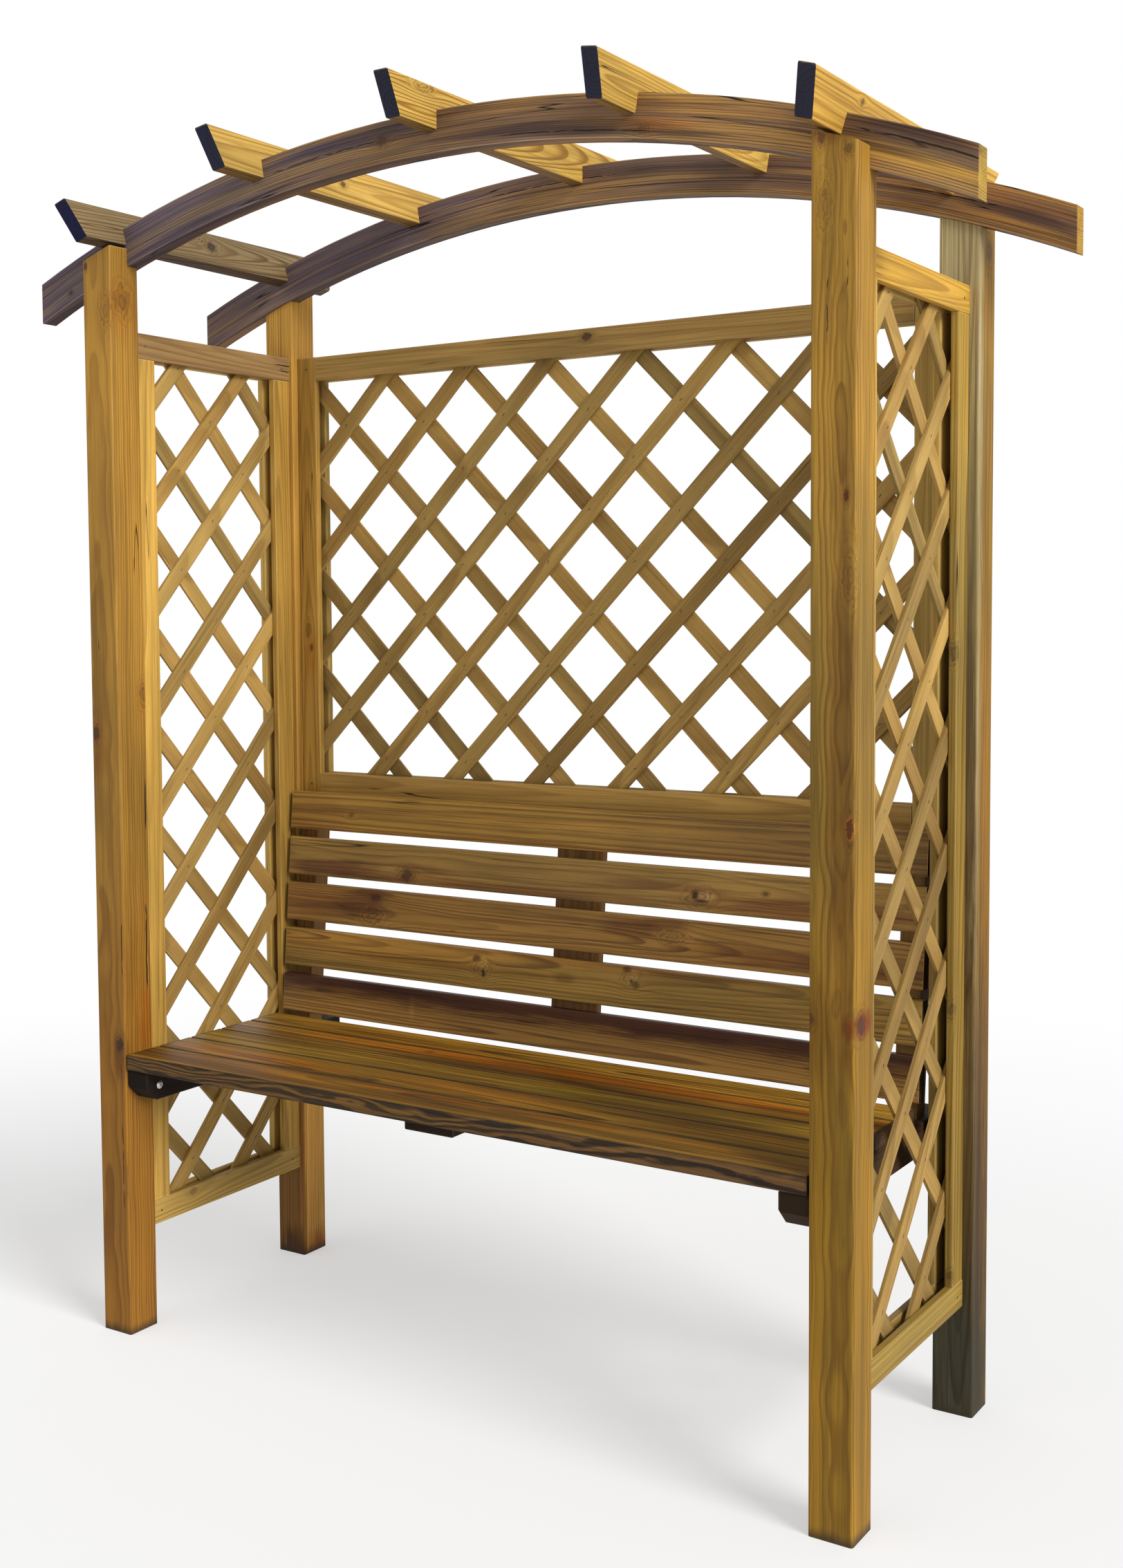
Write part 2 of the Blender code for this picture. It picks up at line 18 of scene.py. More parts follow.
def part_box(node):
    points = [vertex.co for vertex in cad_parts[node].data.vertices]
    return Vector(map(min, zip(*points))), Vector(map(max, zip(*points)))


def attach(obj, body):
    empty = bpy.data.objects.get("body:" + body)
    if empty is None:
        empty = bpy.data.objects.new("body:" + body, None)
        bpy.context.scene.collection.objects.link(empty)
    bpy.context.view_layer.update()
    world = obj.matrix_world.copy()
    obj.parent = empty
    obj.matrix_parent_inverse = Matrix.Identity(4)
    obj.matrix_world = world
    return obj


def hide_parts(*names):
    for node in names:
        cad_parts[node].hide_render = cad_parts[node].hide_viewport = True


bl_info = {
    "name": "Arbor bench",
    "version": (1, 0, 0),
    "blender": (4, 5, 0),
    "location": "View3D > Sidebar > Arbor bench",
    "description": "Timber finishes, lattices, fixings and studio of the arbor bench",
    "category": "Object",
}

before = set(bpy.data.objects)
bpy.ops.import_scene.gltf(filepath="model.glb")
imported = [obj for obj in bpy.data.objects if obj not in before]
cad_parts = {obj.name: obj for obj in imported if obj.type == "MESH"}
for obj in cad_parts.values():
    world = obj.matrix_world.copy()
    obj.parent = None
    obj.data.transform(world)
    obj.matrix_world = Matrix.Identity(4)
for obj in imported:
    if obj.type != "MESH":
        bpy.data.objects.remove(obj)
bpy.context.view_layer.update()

# Places repeated from the solids
ARCH_CENTRE_Z = -0.2112
ARCH_MIDDLE_RADIUS = 2.32925
ARCH_DEPTH = 0.0675
BACK_LEAN = math.radians(5.1)
LATH_PITCH = 0.1905
LATH_THICKNESS = 0.0075
LATH_END_INSET = 0.004

# Names
HANDS = ("left", "right")
ROWS = ("front", "rear")
POSTS = [f"{row}_{hand}_post" for row in ROWS for hand in HANDS]
RAILS = ("bottom_rail", "top_rail")
STILES = ("start_stile", "end_stile")

Board = namedtuple("Board", "middle turn half grain")
PanelLay = namedtuple("PanelLay", "name faces turn crossing slope shifts frame_fade lath_fade")

# The trellis panels: the faces of the frame, the turn about Z, the place of one crossing and the
# slope of the laths. The shifts say how far each lath was stapled above its even place, in
# thousandths of a metre, from the lowest lath that rises to the right and that falls. The two
# last pairs are painted shade near the seat and painted sunlight near the roof, as shares that
# the frames' and the laths' colours are multiplied by.
PANELS = (
    PanelLay(
        "left_trellis", ("inner", "outer"), math.pi / 2, (-0.0045, 0.0005), 1.068,
        ((-8, -6, -2, -3, -5, -1, -1, 1, 4, 4), (4, 6, 5, 9, 9, 5, 8, 6, 7, 4)),
        (1.05, 1.32), (0.98, 1.22)),
    PanelLay(
        "right_trellis", ("inner", "outer"), math.pi / 2, (-0.0045, 0.0005), 1.068,
        ((-2, -2, -1, -1, -1, -1, -2, -4, -1, 0), (-8, -13, -5, -3, -3, -2, -3, 2, 3, 3)),
        (0.74, 1.2), (0.74, 1.05)),
    PanelLay(
        "back_trellis", ("front", "rear"), 0, (-0.0924, 0.0832), 1,
        ((0, -2, 5, 1, -1, 0, 4, -1, -1, 2), (-7, -1, -3, 2, 3, 4, -2, 7, 7, 7)),
        (0.95, 1.02), (0.9, 0.96)),
)

# Colours that more than one timber shares: pale edges of wear, knots, damp feet, and the painted
# shade that undersides are multiplied by
WORN = (0.75, 0.62, 0.36)
KNOT = (0.085, 0.042, 0.016)
DAMP = (0.035, 0.022, 0.012)
UNDERSIDE_SHADE = (0.42, 0.36, 0.46)

# Finish of bare timber: its plain gloss, and how far its grain stands in relief
TIMBER_GLOSS = 0.2
GRAIN_RELIEF = 0.0008

# Half length of the box in which an arch's edges are sought, past both of its ends
ARCH_HALF_LENGTH = 2

# Rings of points along a lath, how far apart along the log the grain of two laths is taken, and
# half the gap between the two crossed layers
LATH_RINGS = 9
LATH_STRIDE = 3.17
LATH_SEAM = 0.0002

# The camera that took the photograph, found from the bench's own lines: picture size, focal
# length and optical centre in pixels, place, and directions
PHOTO_WIDTH, PHOTO_HEIGHT = 1624, 2268
PHOTO_FOCAL_LENGTH = 2617.54
PHOTO_CENTRE = (769.30, 1040.91)
CAMERA_PLACE = (1.7572, -2.6391, 1.3447)
CAMERA_YAW, CAMERA_PITCH, CAMERA_ROLL = 0.5790, -0.0595, -0.0068
CAMERA_SENSOR = 36

# The floor's rings and sides, the distances over which it turns to background white, and the
# share of white that it starts with
FLOOR_RINGS = 12
FLOOR_SIDES = 48
FLOOR_FADE = (1.2, 3.6)
FLOOR_GLOW = 0.45


# ---------------------------------------------------------------------------------------------
# Settings
# ---------------------------------------------------------------------------------------------

def colour(name, description, default):
    """A colour setting in linear light."""
    return FloatVectorProperty(
        name=name, description=description, default=default, subtype="COLOR", size=3, min=0, max=1)


def length(name, description, default):
    """A length setting in metres."""
    return FloatProperty(name=name, description=description, default=default, unit="LENGTH", min=0)


def share(name, description, default, top=1):
    """A plain number from 0 up."""
    return FloatProperty(name=name, description=description, default=default, min=0, max=top)


def timber_look(
        name, light, dark, streak, end, ring_spacing, contrast, roughness, stain="long stains",
        ends="sawn ends", face="planed face", **others):
    """The property group of one kind of timber.

    It has the settings that all kinds share, and any others of its own. stain, ends and face are
    the words that describe them.
    """
    settings = {
        "light": colour("Earlywood", "Colour of the pale part of each ring", light),
        "dark": colour("Latewood", "Colour of the dark part of each ring", dark),
        "streak": colour("Streak", f"Colour of the {stain}", streak),
        "end": colour("End grain", f"Colour of the {ends}", end),
        "ring_spacing": length("Ring spacing", "Distance between growth rings", ring_spacing),
        "contrast": share("Contrast", "How strongly the rings show", contrast),
        "roughness": share("Roughness", f"Roughness of the {face}", roughness),
        **others,
    }
    return type(name, (PropertyGroup,), {"__annotations__": settings})


ArborPostLook = timber_look(
    "ArborPostLook", light=(0.38, 0.205, 0.036), dark=(0.175, 0.08, 0.013),
    streak=(0.235, 0.14, 0.026), end=(0.12, 0.062, 0.02), ring_spacing=0.0052, contrast=0.75,
    roughness=0.62)
# The arches' violet-brown streak colour is partly the weathered wood's own stain and partly painted
# shade.
ArborArchLook = timber_look(
    "ArborArchLook", light=(0.35, 0.20, 0.072), dark=(0.085, 0.048, 0.035),
    streak=(0.125, 0.08, 0.072), end=(0.34, 0.22, 0.05), ring_spacing=0.0042, contrast=0.8,
    roughness=0.66, stain="violet-brown stain and painted shade", ends="plumb ends")
# The rafters' near-black blue end colour is darker end grain with painted shade on it.
ArborRafterLook = timber_look(
    "ArborRafterLook", light=(0.63, 0.395, 0.08), dark=(0.30, 0.145, 0.02),
    streak=(0.44, 0.25, 0.04), end=(0.02, 0.021, 0.044), ring_spacing=0.0058, contrast=0.9,
    roughness=0.6)
ArborFrameLook = timber_look(
    "ArborFrameLook", light=(0.42, 0.265, 0.062), dark=(0.20, 0.11, 0.024),
    streak=(0.30, 0.20, 0.048), end=(0.14, 0.085, 0.024), ring_spacing=0.0048, contrast=0.7,
    roughness=0.62)
ArborLathLook = timber_look(
    "ArborLathLook", light=(0.375, 0.24, 0.068), dark=(0.185, 0.1, 0.025),
    streak=(0.27, 0.175, 0.05), end=(0.18, 0.125, 0.04), ring_spacing=0.004, contrast=0.6,
    roughness=0.72, face="sawn face", width=length("Lath width", "Width of one lath", 0.0315),
    edge=length("Lath edge", "Radius of a lath's long edges", 0.0026))
ArborSeatLook = timber_look(
    "ArborSeatLook", light=(0.34, 0.185, 0.02), dark=(0.062, 0.03, 0.006),
    streak=(0.13, 0.062, 0.009), end=(0.055, 0.03, 0.01), ring_spacing=0.0062, contrast=0.85,
    roughness=0.5, stain="long brown stripes")
ArborBackrestLook = timber_look(
    "ArborBackrestLook", light=(0.33, 0.185, 0.042), dark=(0.115, 0.056, 0.017),
    streak=(0.17, 0.085, 0.026), end=(0.065, 0.036, 0.013), ring_spacing=0.0055, contrast=0.7,
    roughness=0.56, stain="purple-brown stain")
# The bearers' and cleat's near-black colours are painted shade under the seat.
ArborBearerLook = timber_look(
    "ArborBearerLook", light=(0.055, 0.032, 0.013), dark=(0.022, 0.013, 0.007),
    streak=(0.05, 0.03, 0.017), end=(0.03, 0.02, 0.014), ring_spacing=0.005, contrast=0.7,
    roughness=0.75, face="sawn face")


class ArborFixingLook(PropertyGroup):
    screw_head: length("Screw head radius", "Radius of the bearer screws' heads", 0.0075)
    screw_rise: length("Screw head height", "Height of the bearer screws' heads", 0.004)
    screw_shank: length("Screw core radius", "Radius of the bearer screws' cores", 0.0031)
    thread_height: length("Thread height", "How far the thread stands off the core", 0.0008)
    thread_pitch: length("Thread pitch", "Distance between two turns of the thread", 0.004)
    nail_radius: length("Nail head radius", "Radius of the frame nails' heads", 0.0022)
    nail_rise: length("Nail head height", "How far a nail's head stands proud", 0.0004)
    staple_crown: length("Staple crown", "Length of a lath staple's crown", 0.0085)
    staple_wire: length("Staple wire", "Thickness of a lath staple's wire", 0.0013)
    steel: colour("Steel", "Colour of the zinc plating", (0.56, 0.57, 0.58))
    rust: colour("Rust", "Colour of the weathered nails and staples", (0.055, 0.036, 0.022))


class ArborStageLook(PropertyGroup):
    floor: colour("Floor", "Colour of the pale floor", (0.92, 0.92, 0.92))
    floor_radius: length("Floor radius", "Radius of the round floor", 9.0)
    sky: share("Sky level", "Strength of the even light from all round", 0.44, 2)
    key: share("Key level", "Strength of the soft light from the right", 3.3, 20)
    fill: share("Fill level", "Strength of the soft light from the left", 0.35, 20)


class ArborBenchLook(PropertyGroup):
    posts: PointerProperty(type=ArborPostLook)
    arches: PointerProperty(type=ArborArchLook)
    rafters: PointerProperty(type=ArborRafterLook)
    frames: PointerProperty(type=ArborFrameLook)
    laths: PointerProperty(type=ArborLathLook)
    seat: PointerProperty(type=ArborSeatLook)
    backrest: PointerProperty(type=ArborBackrestLook)
    bearers: PointerProperty(type=ArborBearerLook)
    fixings: PointerProperty(type=ArborFixingLook)
    stage: PointerProperty(type=ArborStageLook)


# ---------------------------------------------------------------------------------------------
# Node trees
# ---------------------------------------------------------------------------------------------

class Sheet:
    """Short calls that place and join the nodes of one shader tree."""

    def __init__(self, tree):
        self.tree = tree

    def place(self, kind, settings=None, **feeds):
        """A node with its settings, and a value or link for each named input."""
        node = self.tree.nodes.new(kind)
        count = len(self.tree.nodes)
        node.location = (200 * (count % 10), -260 * (count // 10))
        for name, value in (settings or {}).items():
            setattr(node, name, value)
        for name, value in feeds.items():
            self.feed(node.inputs[name.replace("_", " ")], value)
        return node

    def feed(self, socket, value):
        """Links an output to a socket, or sets the socket's own value."""
        if isinstance(value, bpy.types.NodeSocket):
            self.tree.links.new(value, socket)
        elif socket.type == "RGBA" and len(value) == 3:
            socket.default_value = (*value, 1)
        else:
            socket.default_value = value

    def sum(self, operation, *values, clamp=False):
        """One step of plain arithmetic."""
        node = self.place("ShaderNodeMath", {"operation": operation, "use_clamp": clamp})
        for socket, value in zip(node.inputs, values):
            self.feed(socket, value)
        return node.outputs[0]

    def turn(self, operation, *values, scale=None):
        """One step of vector arithmetic."""
        node = self.place("ShaderNodeVectorMath", {"operation": operation})
        for socket, value in zip(node.inputs, values):
            self.feed(socket, value)
        if scale is not None:
            self.feed(node.inputs["Scale"], scale)
        return node.outputs["Value" if operation in ("LENGTH", "DOT_PRODUCT") else "Vector"]

    def split(self, vector):
        """The three numbers of a vector."""
        return self.place("ShaderNodeSeparateXYZ", Vector=vector).outputs

    def join(self, x, y, z):
        """A vector of three numbers."""
        return self.place("ShaderNodeCombineXYZ", X=x, Y=y, Z=z).outputs[0]

    def step(self, value, low, high, start=0, stop=1):
        """A smooth step from start to stop as the value goes from low to high."""
        node = self.place("ShaderNodeMapRange", {"interpolation_type": "SMOOTHSTEP"}, Value=value)
        ends = {"From Min": low, "From Max": high, "To Min": start, "To Max": stop}
        for name, number in ends.items():
            self.feed(node.inputs[name], number)
        return node.outputs[0]

    def noise(self, vector, detail=2, roughness=0.5):
        """Fractal noise of a vector that is already scaled."""
        node = self.place(
            "ShaderNodeTexNoise", Vector=vector, Scale=1, Detail=detail, Roughness=roughness)
        return node.outputs

    def blend(self, share_in, first, second, kind="MIX"):
        """A mix of two colours."""
        node = self.place("ShaderNodeMix", {"data_type": "RGBA", "blend_type": kind})
        self.feed(node.inputs[0], share_in)
        self.feed(node.inputs[6], first)
        self.feed(node.inputs[7], second)
        return node.outputs[2]

    def lerp(self, share_in, first, second):
        """A mix of two numbers."""
        node = self.place("ShaderNodeMix", {"data_type": "FLOAT"})
        self.feed(node.inputs[0], share_in)
        self.feed(node.inputs[2], first)
        self.feed(node.inputs[3], second)
        return node.outputs[0]

    def use(self, group, **feeds):
        """A node group placed with its own values."""
        return self.place("ShaderNodeGroup", {"node_tree": group}, **feeds).outputs


KINDS = {"value": "NodeSocketFloat", "vector": "NodeSocketVector", "colour": "NodeSocketColor"}


def start_group(name, inputs, outputs):
    """An empty node group with named sockets, its sheet, its inputs and its output node."""
    group = bpy.data.node_groups.new(name, "ShaderNodeTree")
    for label, kind in inputs.items():
        group.interface.new_socket(label, in_out="INPUT", socket_type=KINDS[kind])
    for label, kind in outputs.items():
        group.interface.new_socket(label, in_out="OUTPUT", socket_type=KINDS[kind])
    sheet = Sheet(group)
    source = sheet.place("NodeGroupInput").outputs
    target = sheet.place("NodeGroupOutput")
    return group, sheet, source, target


def finish_group(sheet, target, **results):
    """Joins the results to the group's outputs."""
    for name, value in results.items():
        sheet.feed(target.inputs[name.replace("_", " ")], value)


def start_material(name):
    """A new material, the sheet of its nodes and its shader."""
    material = bpy.data.materials.new(name)
    material.use_nodes = True
    return material, Sheet(material.node_tree), material.node_tree.nodes["Principled BSDF"]


def feed_timber(s, shader, paint, surface, relief):
    """Joins a timber's paint, roughness and relief to its shader."""
    s.feed(shader.inputs["Base Color"], paint)
    s.feed(shader.inputs["Roughness"], surface["Roughness"])
    shader.inputs["Specular IOR Level"].default_value = TIMBER_GLOSS
    bump = s.place(
        "ShaderNodeBump", Height=surface["Height"], Strength=relief, Distance=GRAIN_RELIEF)
    s.feed(shader.inputs["Normal"], bump.outputs[0])


def grain_group():
    """Growth rings of a board sawn from a log.

    The board's place is x along, y across and z through. The radius is the distance from the
    pith, which lies at an offset that drifts along the board, so that flat-sawn faces show
    arches. Slow noise bends it and quicker noise ripples it, and the ring count is radius over
    spacing plus a noise of the radius. Each ring darkens slowly and ends sharply.
    """
    group, s, i, target = start_group(
        "Pine grain",
        {"Board": "vector", "Seed": "value", "Spacing": "value", "Pith": "vector",
         "Drift": "vector", "Wave": "value", "Ripple": "value", "Push": "value"},
        {"Late": "value", "Fibre": "value", "Streak": "value", "Tone": "value", "Fleck": "value",
         "Vein": "value"})
    shift = s.turn("SCALE", (7.31, 3.73, 1.97), scale=i["Seed"])
    place = s.turn("ADD", i["Board"], shift)
    bend = s.noise(s.turn("MULTIPLY", place, (1.6, 7, 7)), 2, 0.45)[1]
    bend = s.turn("SUBTRACT", bend, (0.5, 0.5, 0.5))
    bend = s.turn("SCALE", bend, scale=i["Wave"])
    ripple = s.noise(s.turn("MULTIPLY", place, (9, 13, 13)), 1, 0.5)[1]
    ripple = s.turn("SUBTRACT", ripple, (0.5, 0.5, 0.5))
    bend = s.turn("ADD", bend, s.turn("SCALE", ripple, scale=i["Ripple"]))
    board = s.split(i["Board"])
    centre = s.turn("ADD", i["Pith"], s.turn("SCALE", i["Drift"], scale=board[0]))
    out = s.turn("ADD", s.turn("SUBTRACT", i["Board"], centre), bend)
    out = s.turn("ADD", out, s.join(0, i["Push"], 0))
    radius = s.turn("LENGTH", s.turn("MULTIPLY", out, (0, 1, 1)))
    growth = s.noise(s.join(s.sum("MULTIPLY", radius, 45), i["Seed"], 0), 1)[0]
    count = s.sum("ADD", s.sum("DIVIDE", radius, i["Spacing"]), s.sum("MULTIPLY", growth, 4))
    part = s.sum("FRACT", count)
    late = s.sum("MULTIPLY", s.step(part, 0.3, 0.88), s.step(part, 0.9, 1.0, 1, 0))
    whole = s.join(s.sum("FLOOR", count), i["Seed"], 0)
    dice = s.place("ShaderNodeTexWhiteNoise", {"noise_dimensions": "2D"}, Vector=whole)
    late = s.sum("MULTIPLY", late, s.sum("MULTIPLY_ADD", dice.outputs[0], 0.65, 0.35))
    fibre = s.noise(s.turn("MULTIPLY", place, (9, 620, 620)), 2, 0.6)[0]
    streak = s.noise(s.turn("MULTIPLY", place, (1.3, 34, 34)), 3, 0.55)[0]
    tone = s.noise(s.turn("MULTIPLY", place, (2.2, 11, 11)), 2, 0.5)[0]
    fleck = s.noise(s.turn("MULTIPLY", place, (95, 900, 900)), 1, 0.5)[0]
    vein = s.turn("ADD", place, s.turn("SCALE", bend, scale=0.5))
    vein = s.noise(s.turn("MULTIPLY", vein, (2.4, 190, 190)), 2, 0.55)[0]
    finish_group(
        s, target, Late=late, Fibre=fibre, Streak=streak, Tone=tone,
        Fleck=s.step(fleck, 0.70, 0.76), Vein=s.step(vein, 0.54, 0.68))
    return group


def knot_group():
    """One knot, added to those before it.

    The distance from the knot's centre is taken with the direction along the grain shortened by
    the stretch, over the knot's size. Inside 1 is the knot with its own rings. Round it the
    push moves the grain aside by its own distance across times a bell curve, so the rings flow
    round the knot on both sides. Up to two sizes out, closed ovals cover the board's own rings.
    """
    group, s, i, target = start_group(
        "Knot",
        {"Board": "vector", "Centre": "vector", "Size": "value", "Stretch": "value",
         "Depth": "value", "Show": "value", "Push": "value", "Disc": "value", "Rings": "value",
         "Halo": "value", "Cover": "value", "Oval": "value"},
        {"Push": "value", "Disc": "value", "Rings": "value", "Halo": "value", "Cover": "value",
         "Oval": "value"})
    away = s.turn("SUBTRACT", i["Board"], i["Centre"])
    parts = s.split(away)
    along = s.sum("DIVIDE", parts[0], i["Stretch"])
    through = s.sum("MULTIPLY", parts[2], i["Depth"])
    near = s.turn("LENGTH", s.join(along, parts[1], through))
    squeeze = s.join(s.sum("DIVIDE", 0.7, i["Size"]), s.sum("DIVIDE", 1, i["Size"]), 60)
    shape = s.turn("MULTIPLY", away, squeeze)
    ripple = s.noise(s.turn("ADD", shape, i["Centre"]), 3, 0.55)[0]
    near = s.sum("ADD", s.sum("DIVIDE", near, i["Size"]), s.sum("MULTIPLY_ADD", ripple, 1.5, -0.75))
    disc = s.sum("MULTIPLY", s.step(near, 0.8, 1.05, 1, 0), i["Show"])
    rings = s.sum("MULTIPLY", s.sum("FRACT", s.sum("MULTIPLY", near, 3.2)), disc)
    halo = s.sum("MULTIPLY", s.step(near, 0.6, 2.6, 1, 0), i["Show"])
    far = s.turn("LENGTH", s.join(s.sum("DIVIDE", along, 1.4), parts[1], through))
    far = s.sum("ADD", s.sum("DIVIDE", far, i["Size"]), s.sum("MULTIPLY_ADD", ripple, 1.8, -0.9))
    part = s.sum("FRACT", s.sum("MULTIPLY", far, 1.7))
    oval = s.sum("MULTIPLY", s.step(part, 0.25, 0.8), s.step(part, 0.88, 1.0, 1, 0))
    cover = s.step(far, 1.2, 2.3, 0.8, 0)
    long_way = s.sum("DIVIDE", along, 2.1)
    flow = s.turn("LENGTH", s.join(long_way, s.sum("DIVIDE", parts[1], 1.5), through))
    flow = s.sum("DIVIDE", flow, i["Size"])
    bell = s.sum("EXPONENT", s.sum("MULTIPLY", s.sum("MULTIPLY", flow, flow), -0.5))
    push = s.sum("MULTIPLY", s.sum("MULTIPLY", parts[1], bell), -0.9)
    finish_group(
        s, target, Push=s.sum("ADD", i["Push"], push), Disc=s.sum("MAXIMUM", i["Disc"], disc),
        Rings=s.sum("MAXIMUM", i["Rings"], rings), Halo=s.sum("MAXIMUM", i["Halo"], halo),
        Cover=s.sum("MAXIMUM", i["Cover"], cover), Oval=s.lerp(cover, i["Oval"], oval))
    return group


def check_group():
    """Drying checks: thin dark cracks along the grain, where a long noise passes its middle."""
    group, s, i, target = start_group(
        "Drying checks", {"Board": "vector", "Seed": "value", "Amount": "value"},
        {"Check": "value"})
    shift = s.turn("SCALE", (2.17, 5.39, 8.21), scale=i["Seed"])
    place = s.turn("ADD", i["Board"], shift)
    line = s.noise(s.turn("MULTIPLY", place, (1.1, 62, 62)), 1, 0.3)[0]
    line = s.sum("ABSOLUTE", s.sum("SUBTRACT", line, 0.5))
    where = s.noise(s.turn("MULTIPLY", place, (3.5, 24, 24)), 1)[0]
    low, high = [s.sum("SUBTRACT", level, i["Amount"]) for level in (0.78, 0.86)]
    open_part = s.step(where, low, high)
    finish_group(s, target, Check=s.sum("MULTIPLY", s.step(line, 0.002, 0.009, 1, 0), open_part))
    return group


def split_group():
    """One open split, added to those before it.

    It lies within a small distance of a line along the grain that starts at a point of the
    surface, wanders a little from side to side and narrows towards both ends.
    """
    group, s, i, target = start_group(
        "Split",
        {"Board": "vector", "Start": "vector", "Length": "value", "Width": "value",
         "Check": "value"},
        {"Check": "value"})
    away = s.split(s.turn("SUBTRACT", i["Board"], i["Start"]))
    wander = s.noise(s.join(s.sum("MULTIPLY", s.split(i["Board"])[0], 24), 0, 0), 2)[0]
    wander = s.sum("MULTIPLY_ADD", wander, 0.008, -0.004)
    near = s.turn("LENGTH", s.join(s.sum("ADD", away[1], wander), s.sum("ADD", away[2], wander), 0))
    rest = s.sum("SUBTRACT", i["Length"], away[0])
    taper = s.sum("MULTIPLY", s.step(away[0], 0, 0.03), s.step(rest, 0, 0.03))
    width = s.sum("MULTIPLY", i["Width"], taper)
    line = s.sum("MULTIPLY", s.step(near, s.sum("MULTIPLY", width, 0.4), width, 1, 0), taper)
    finish_group(s, target, Check=s.sum("MAXIMUM", i["Check"], line))
    return group


def patch_group():
    """Stains and painted sunlight and shade: inside a ragged ellipsoid the colour is multiplied by
    the tint.
    """
    group, s, i, target = start_group(
        "Stain patch",
        {"Paint": "colour", "Board": "vector", "Centre": "vector", "Reach": "vector",
         "Tint": "colour", "Strength": "value"},
        {"Paint": "colour"})
    away = s.turn("DIVIDE", s.turn("SUBTRACT", i["Board"], i["Centre"]), i["Reach"])
    ragged = s.noise(s.turn("MULTIPLY", i["Board"], (9, 90, 90)), 3, 0.6)[0]
    near = s.sum("ADD", s.turn("LENGTH", away), s.sum("MULTIPLY_ADD", ragged, 1.1, -0.55))
    mask = s.sum("MULTIPLY", s.step(near, 0.35, 1.1, 1, 0), i["Strength"])
    tinted = s.blend(1, i["Paint"], i["Tint"], "MULTIPLY")
    finish_group(s, target, Paint=s.blend(mask, i["Paint"], tinted))
    return group


def zebra_group():
    """Dark bands of hard latewood: the depth in the board, bent by slow noise, counted in bands."""
    group, s, i, target = start_group(
        "Zebra figure", {"Paint": "colour", "Board": "vector", "Bands": "value", "Show": "value"},
        {"Paint": "colour"})
    x, _, z = s.split(i["Board"])
    slow = s.noise(s.turn("MULTIPLY", i["Board"], (4.5, 9, 26)), 2, 0.55)[0]
    quick = s.noise(s.turn("MULTIPLY", i["Board"], (22, 30, 130)), 2, 0.5)[0]
    bands = s.sum("MULTIPLY", i["Bands"], s.step(x, -0.15, 0.4, 1, 0.42))
    count = s.sum("MULTIPLY", s.sum("ADD", z, s.sum("MULTIPLY", slow, 0.07)), bands)
    count = s.sum("ADD", count, s.sum("MULTIPLY", quick, 0.6))
    part = s.sum("FRACT", count)
    dark = s.sum("MULTIPLY", s.step(part, 0.25, 0.55), s.step(part, 0.85, 1.0, 1, 0))
    warm = s.blend(s.step(x, 0.0, 0.5), (0.08, 0.036, 0.011), (0.13, 0.06, 0.015))
    banded = s.blend(dark, s.blend(0.8, i["Paint"], warm), (0.007, 0.004, 0.0025))
    finish_group(s, target, Paint=s.blend(i["Show"], i["Paint"], banded))
    return group


def edge_group():
    """Where a board's edges are, for pale wear and for the seat's painted gap shade: how near a point
    is to two faces of its box at once.
    """
    group, s, i, target = start_group(
        "Board edges", {"Board": "vector", "Half": "vector", "Width": "value"}, {"Edge": "value"})
    inside = s.turn("SUBTRACT", i["Half"], s.turn("ABSOLUTE", i["Board"]))
    ripple = s.noise(s.turn("MULTIPLY", i["Board"], (14, 160, 160)), 2)[0]
    width = s.sum("MULTIPLY", i["Width"], s.sum("MULTIPLY_ADD", ripple, 1.6, 0.2))
    near = [s.step(part, 0, width, 1, 0) for part in s.split(inside)]
    long_edge = s.sum("MULTIPLY", near[1], near[2])
    end_edge = s.sum("MULTIPLY", near[0], s.sum("MAXIMUM", near[1], near[2]))
    finish_group(s, target, Edge=s.sum("MAXIMUM", long_edge, end_edge))
    return group


